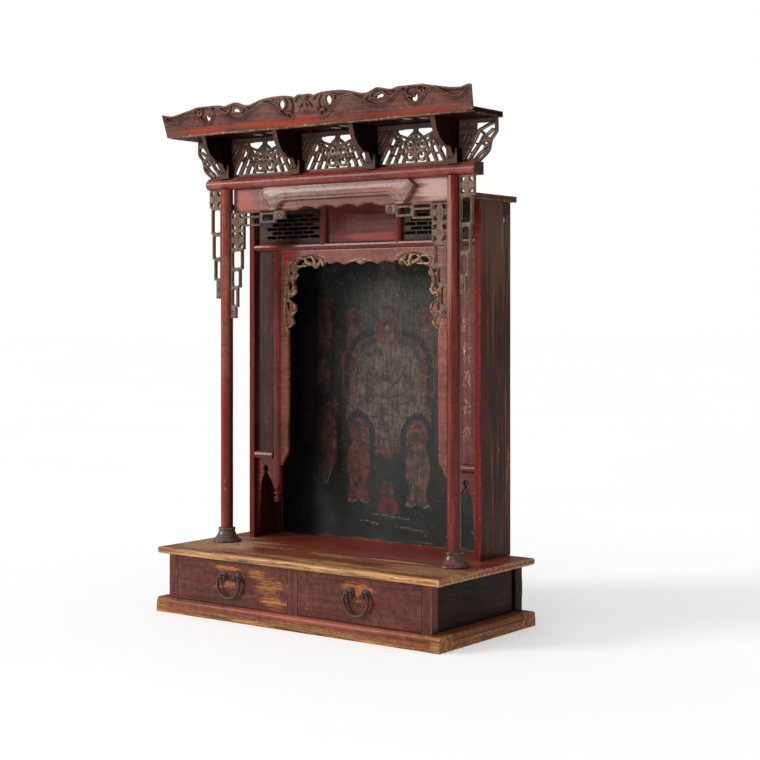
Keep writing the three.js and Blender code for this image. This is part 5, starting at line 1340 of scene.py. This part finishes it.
# Painted back panel.
def painted_panel():
    xs = np.linspace(-PAINTED_HALF_X, PAINTED_HALF_X, 226)
    zs = np.linspace(TABLE_TOP + GAP, PAINTED_TOP - GAP, 270)
    px, pz = np.meshgrid(xs, zs)
    draw = np.random.default_rng(5)
    figure, red, dark, pale = (np.zeros(px.shape) for _ in range(4))

    def lay(target, share):
        np.maximum(target, share, out=target)

    def disc(cx, cz, rx, rz, soft=3.0):
        d = 1 - np.hypot((px - cx) / rx, (pz - cz) / rz)
        return np.clip(d * min(rx, rz) / soft, 0, 1)

    def area(points, soft=4.0):
        outline = smooth_line(closed_line(as_points(points)), 5)[:-1]
        return np.clip(polygon_distance(px, pz, outline) / soft + 0.5, 0, 1)

    def draw_line(points, width, target, amount=1.0):
        line = smooth_line(points, 5)
        d = stroke_distance(px, pz, line, np.full(len(line), width))
        lay(target, amount * np.clip(d / 1.6 + 0.4, 0, 1))

    def head(cx, cz, r, tone=0.8, halo=0.85):
        """A round halo and a calm, simple face in it."""
        lay(red, halo * disc(cx, cz, r, r * 1.06))
        face = disc(cx, cz - r * 0.12, r * 0.5, r * 0.62)
        lay(figure, tone * face)
        red[:] = np.where(face > 0.3, red * (1 - 0.75 * face), red)
        draw_line([
            (cx - r * 0.3, cz + r * 0.48), (cx, cz + r * 0.66),
            (cx + r * 0.3, cz + r * 0.48)], r * 0.13, dark, 0.8)
        for s in (-1, 1):
            draw_line([(cx + s * r * 0.1, cz), (cx + s * r * 0.3, cz + r * 0.02)], 1.3, dark, 0.7)
        draw_line([(cx, cz - r * 0.04), (cx, cz - r * 0.28)], 1.0, dark, 0.45)
        draw_line([(cx - r * 0.14, cz - r * 0.42), (cx + r * 0.14, cz - r * 0.42)], 1.1, dark, 0.6)
        draw_line(closed_line(oval(cx, cz, r * 1.06, r * 1.12, 0, 24)), 0.9, pale, 0.35)

    # Faded ground, plume and mandorla behind the middle figure, then the seated body on its base.
    figure[:] = 0.36 * disc(20, 650, 230, 300, 110.0)
    lay(
        figure,
        0.5 * area([
            (-34, 730), (-46, 790), (-30, 860), (-16, 930), (16, 930), (32, 860), (46, 790), (34, 730)], 14))
    for turn in BOTH:
        draw_line(turn([(132, 560), (128, 640), (92, 690), (48, 704)]), 9, dark, 0.9)
    torso = [
        (24, 676), (66, 660), (92, 626), (102, 584), (104, 556), (118, 528), (134, 500), (130, 470),
        (104, 450), (50, 440)]
    lay(figure, 0.9 * area(torso + [(0, 438)] + mirrored(torso), 7))
    seat = [(112, 446), (104, 424), (84, 404), (40, 394)]
    lay(figure, 0.7 * area([(0, 450)] + seat + [(0, 392)] + mirrored(seat), 6))
    head(0, 704, 40, 0.85, 0.6)
    folds = (
        [(22, 668), (30, 640), (20, 604), (0, 584)], [(40, 664), (54, 630), (44, 592), (14, 566)],
        [(88, 630), (84, 590), (62, 556), (22, 540), (0, 538)], [(100, 560), (80, 536), (44, 522), (0, 520)],
        [(124, 512), (90, 494), (44, 486), (0, 494)], [(128, 486), (90, 464), (40, 456), (0, 462)],
        [(70, 640), (72, 604), (60, 576)], [(58, 556), (66, 530), (60, 500)], [(98, 520), (92, 500)],
        [(30, 530), (34, 500), (26, 466)], [(104, 440), (60, 426), (0, 430)],
        [(84, 420), (40, 408), (0, 412)])
    for turn in BOTH:
        for fold in folds:
            draw_line(turn(fold), 1.9, dark, 0.7)
            draw_line(turn(fold) + (0, 3.4), 0.7, pale, 0.22)
        for k in range(5):
            draw_line(turn([(10 + 20 * k, 436), (14 + 19 * k, 424), (10 + 18 * k, 408)]), 1.1, dark, 0.6)
        hem = [(24, 678), (66, 663), (94, 628), (105, 584), (107, 556), (121, 528), (137, 500)]
        draw_line(turn(hem), 1.0, pale, 0.6)
    lay(red, 0.5 * area([(-64, 430), (-30, 392), (0, 380), (30, 392), (64, 430), (0, 412)], 8))
    # Side figures, paired about the middle.
    for cx, cz, r, tall, wide, robe_red in (
        (112, 738, 25, 84, 44, 0.25), (126, 624, 27, 80, 46, 0.35), (202, 782, 25, 110, 40, 0.3),
        (210, 652, 25, 96, 40, 0.35), (188, 508, 26, 150, 46, 0.5), (268, 720, 24, 130, 38, 0.3),
        (266, 560, 24, 140, 40, 0.4)
    ):
        for s in (-1, 1):
            x = s * cx + draw.uniform(-4, 4)
            top = cz - r * 0.7
            half = [(12, top), (wide / 2, top - tall * 0.25), (wide / 2, top - tall * 0.8)]
            robe = [(x + u, z) for u, z in flipped(half).tolist() + [(0, top - tall)] + half[::-1]]
            share = area(robe, 7)
            lay(figure, 0.62 * share)
            lay(red, robe_red * share)
            draw_line([(x, top - 6), (x - 3, top - tall * 0.5), (x + 2, top - tall * 0.85)], 1.2, dark, 0.4)
            sleeve = top - tall * 0.3
            draw_line([
                (x - wide * 0.3, sleeve), (x, top - tall * 0.42), (x + wide * 0.3, sleeve)], 1.2, dark, 0.4)
            head(x, cz, r, 0.6, 0.75)
    # Two standing figures low down, with dark grounds round their haloes, and a small one between them.
    for s, robe_red, robe_brown in ((-1, 0.75, 0.35), (1, 0.25, 0.8)):
        x = s * 94
        draw_line([(x - 44, 400), (x - 42, 452), (x, 492), (x + 42, 452), (x + 44, 400)], 10, dark, 0.95)
        half = [(-14, 424), (-34, 392), (-36, 340), (-26, 300), (-36, 262)]
        share = area([(x + u, z) for u, z in half + [(0, 270)] + mirrored(half)], 5)
        figure[:] = np.maximum(figure * (1 - share), robe_brown * share)
        red[:] = np.maximum(red * (1 - share), robe_red * share)
        for k in (-1, 0, 1):
            draw_line([
                (x + k * 8, 410), (x + k * 12, 350), (x + k * 9, 300), (x + k * 14, 268)], 1.2, dark, 0.5)
        draw_line([(x - 26, 380), (x, 362), (x + 26, 380)], 1.4, dark, 0.5)
        for foot in (x - 20, x + 20):
            draw_line([(foot - 14, 268), (foot, 262), (foot + 14, 268)], 1.4, pale, 0.6)
        head(x, 448, 30, 0.7, 0.9)
    share = area([(-10, 284), (-34, 262), (-30, 240), (0, 236), (30, 240), (34, 262), (10, 284)], 5)
    lay(red, 0.7 * share)
    head(0, 296, 21, 0.35, 0.9)
    for turn in BOTH:
        body = [(178, 420), (196, 480), (232, 470), (240, 400), (226, 330), (200, 300), (184, 350)]
        lay(figure, 0.55 * area(turn(body), 8))
        draw_line(turn([(176, 420), (188, 330), (214, 300), (244, 318)]), 1.6, pale, 0.5)
    # Scrolls of cloud near the top, thin scratches and flakes.
    for _ in range(26):
        cx, cz = draw.uniform(-250, 250), draw.uniform(800, 900)
        draw_line(spiral(
            cx, cz, draw.uniform(4, 12), 2, draw.uniform(0, 360), draw.uniform(360, 620), 10), 0.9, pale, 0.4)
    for _ in range(70):
        cx, cz = draw.uniform(-320, 320), draw.uniform(180, 960)
        a, length = draw.choice([1.5, 0.1, 0.9, -0.8]) + draw.normal(0, 0.3), draw.uniform(4, 22)
        draw_line([
            (cx, cz),
            (cx + math.cos(a) * length, cz + math.sin(a) * length)], 0.6, pale, draw.uniform(0.4, 0.9))
    for cx, cz, length in ((10, 232, 120), (70, 205, 90), (-60, 214, 60)):
        draw_line([(cx - length / 2, cz + 3), (cx, cz), (cx + length / 2, cz - 4)], 1.4, pale, 0.7)
    points = np.stack([px.ravel(), np.full(px.size, PAINTED_FRONT), pz.ravel()], 1)
    index = np.arange(px.size).reshape(px.shape)
    faces = np.stack([
        index[:-1, :-1].ravel(), index[:-1, 1:].ravel(), index[1:, 1:].ravel(),
        index[1:, :-1].ravel()], 1).tolist()
    loop = np.concatenate([index[0, :-1], index[:-1, -1], index[-1, :0:-1], index[:0:-1, 0]])
    behind = np.stack([px.ravel()[loop], np.full(len(loop), PAINTED_BACK), pz.ravel()[loop]], 1)
    base = px.size
    for k in range(len(loop)):
        m = (k + 1) % len(loop)
        faces.append([int(loop[k]), base + k, base + m, int(loop[m])])
    faces.append([base + k for k in range(len(loop))])
    points = np.vstack([points, behind])
    extend = np.zeros(len(loop))
    fields = dict(figure=figure, red=red, dark=dark, pale=pale)
    fields = {key: np.concatenate([value.ravel(), extend]) for key, value in fields.items()}

    g = Graph("painted_panel_finish")
    clouds = g.noise((9, 9, 9), 5, 0.6)
    fine = g.noise((160, 160, 160), 5, 0.7)
    upright = g.noise((240, 240, 14), 4, 0.65)
    level = g.noise((20, 200, 260), 4, 0.6)
    ground = g.ramp(
        g.blend(clouds, 0.6, fine, 0.4), (0.36, (18, 19, 18)), (0.5, (31, 34, 32)), (0.64, (45, 50, 48)))
    middle = g.noise((46, 46, 46), 5, 0.65)
    rub = g.math("MULTIPLY_ADD", fine, 0.25, g.blend(upright, 0.25, middle, 0.5))
    brown_share = g.blend(upright, 0.55, middle, 0.45)
    brown = g.ramp(brown_share, (0.38, (66, 56, 50)), (0.5, (88, 76, 67)), (0.64, (108, 94, 82)))
    robe_red = g.ramp(middle, (0.4, (82, 32, 30)), (0.6, (116, 50, 44)))
    colour = ground
    for name, rubbed, limits, tone in (
        ("figure", rub, (0.4, 0.56, 0.35, 1.0), brown), ("red", rub, (0.38, 0.56, 0.3, 0.85), robe_red),
        ("dark", rub, (0.38, 0.5, 0.3, 0.95), (30, 34, 36)),
        ("pale", fine, (0.44, 0.56, 0.0, 0.8), (170, 158, 138))
    ):
        colour = g.mix(g.times(g.attribute(name), g.span(rubbed, *limits)), colour, tone)
    flake = g.noise((110, 110, 110), 6, 0.75)
    scratch = g.noise((420, 420, 30), 2, 0.5)
    x, _, z = g.add("ShaderNodeSeparateXYZ", {0: g.place}).outputs
    # Flakes, scratches, a brown band at the foot, a bare strip at the right edge, and a painted shadow that
    # darkens the left part of the panel.
    for value, limits, tone in (
        (flake, (0.645, 0.69, 0, 0.75), (150, 136, 112)), (scratch, (0.7, 0.76, 0, 0.5), (124, 112, 98)),
        (g.sway(level, 0.05, z), (0.162, 0.174, 0.6, 0), (128, 78, 44)),
        (g.sway(upright, 0.05, x), (0.325, 0.345, 0, 0.7), (146, 96, 60)),
        (g.sway(clouds, 0.12, x), (-0.25, -0.165, 0.85, 0), (5, 5, 5))
    ):
        colour = g.mix(g.span(value, *limits), colour, tone)
    # The back is bare planks.
    boards = g.math("PINGPONG", g.math("ADD", x, 0.02), 0.0575)
    bare = g.ramp(
        g.blend(upright, 0.7, clouds, 0.3), (0.36, (34, 22, 16)), (0.5, (62, 42, 31)), (0.64, (92, 66, 48)))
    bare = g.mix(g.span(boards, 0.0008, 0.0018, 0.9, 0), bare, (14, 9, 7))
    behind = g.add("ShaderNodeSeparateXYZ", {0: g.normal()}).outputs[1]
    colour = g.mix(g.span(behind, 0.3, 0.6), colour, bare)
    lift = g.blend(flake, 0.8, upright, 0.4)
    rough = g.span(fine, 0.35, 0.65, 0.5, 0.8)
    g.surface(colour, rough, lift, 0.5, 0.0012, Specular_IOR_Level=0.25)
    make_object("painted_back", "box_back_painted", points, faces, g.material, "painted_panel", 30, fields)


painted_panel()

# Floor, light and camera.
scene = bpy.context.scene
floor_mesh = bpy.data.meshes.new("studio_floor")
reach = 60.0
ring = [
    (reach * math.cos(a), reach * math.sin(a), 0.0) for a in np.linspace(0, 2 * math.pi, 64, endpoint=False)]
floor_mesh.from_pydata(ring, [], [tuple(range(64))])
floor = bpy.data.objects.new("studio_floor", floor_mesh)
scene.collection.objects.link(floor)
ground = Graph("pale_floor")
tone = ground.noise((0.7, 0.7, 0.7), 3, 0.5)
pale = ground.ramp(tone, (0.3, (228, 228, 228)), (0.7, (232, 232, 232)))
ground.surface(pale, 0.8, Emission_Color=(1, 1, 1, 1), Emission_Strength=0.34)
floor_mesh.materials.append(ground.material)

world = bpy.data.worlds.new("studio_world")
scene.world = world
world.use_nodes = True
WORLD_SEEN, WORLD_LIGHT = 1.0, 0.16
sky = world.node_tree
path = sky.nodes.new("ShaderNodeLightPath")
level = sky.nodes.new("ShaderNodeMapRange")
level.inputs["To Min"].default_value = WORLD_LIGHT
level.inputs["To Max"].default_value = WORLD_SEEN
sky.links.new(path.outputs["Is Camera Ray"], level.inputs["Value"])
sky.links.new(level.outputs[0], sky.nodes["Background"].inputs["Strength"])
sky.nodes["Background"].inputs["Color"].default_value = (1.0, 1.0, 1.0, 1.0)


def aim(lamp, place, target):
    lamp.location = place
    lamp.rotation_euler = (Vector(place) - Vector(target)).to_track_quat("Z", "Y").to_euler()
    scene.collection.objects.link(lamp)


def wide_light(name, place, strength, spread):
    data = bpy.data.lights.new(name, "SUN")
    data.energy = strength
    data.angle = math.radians(spread)
    aim(bpy.data.objects.new(name, data), place, (0, 0, 0))


wide_light("overall", (-0.5, -1.0, 2.6), 1.75, 100)
wide_light("key", (-0.70, -0.70, 0.30), 2.0, 20)
scene.view_settings.view_transform = "Standard"

camera_data = bpy.data.cameras.new("photo_camera")
FOCAL_PX, CENTRE_U, CENTRE_V, FRAME_PX = 1589.0, 378.6, 314.2, 760
camera_data.sensor_width = 36
camera_data.lens = FOCAL_PX / FRAME_PX * 36
camera_data.shift_x = (FRAME_PX / 2 - CENTRE_U) / FRAME_PX
camera_data.shift_y = (CENTRE_V - FRAME_PX / 2) / FRAME_PX
camera = bpy.data.objects.new("photo_camera", camera_data)
camera.location = (2.42281, -3.09246, 0.75063)
camera.rotation_euler = (math.radians(90), 0, 0.64117)
camera_data.clip_end = 200
scene.collection.objects.link(camera)
scene.camera = camera
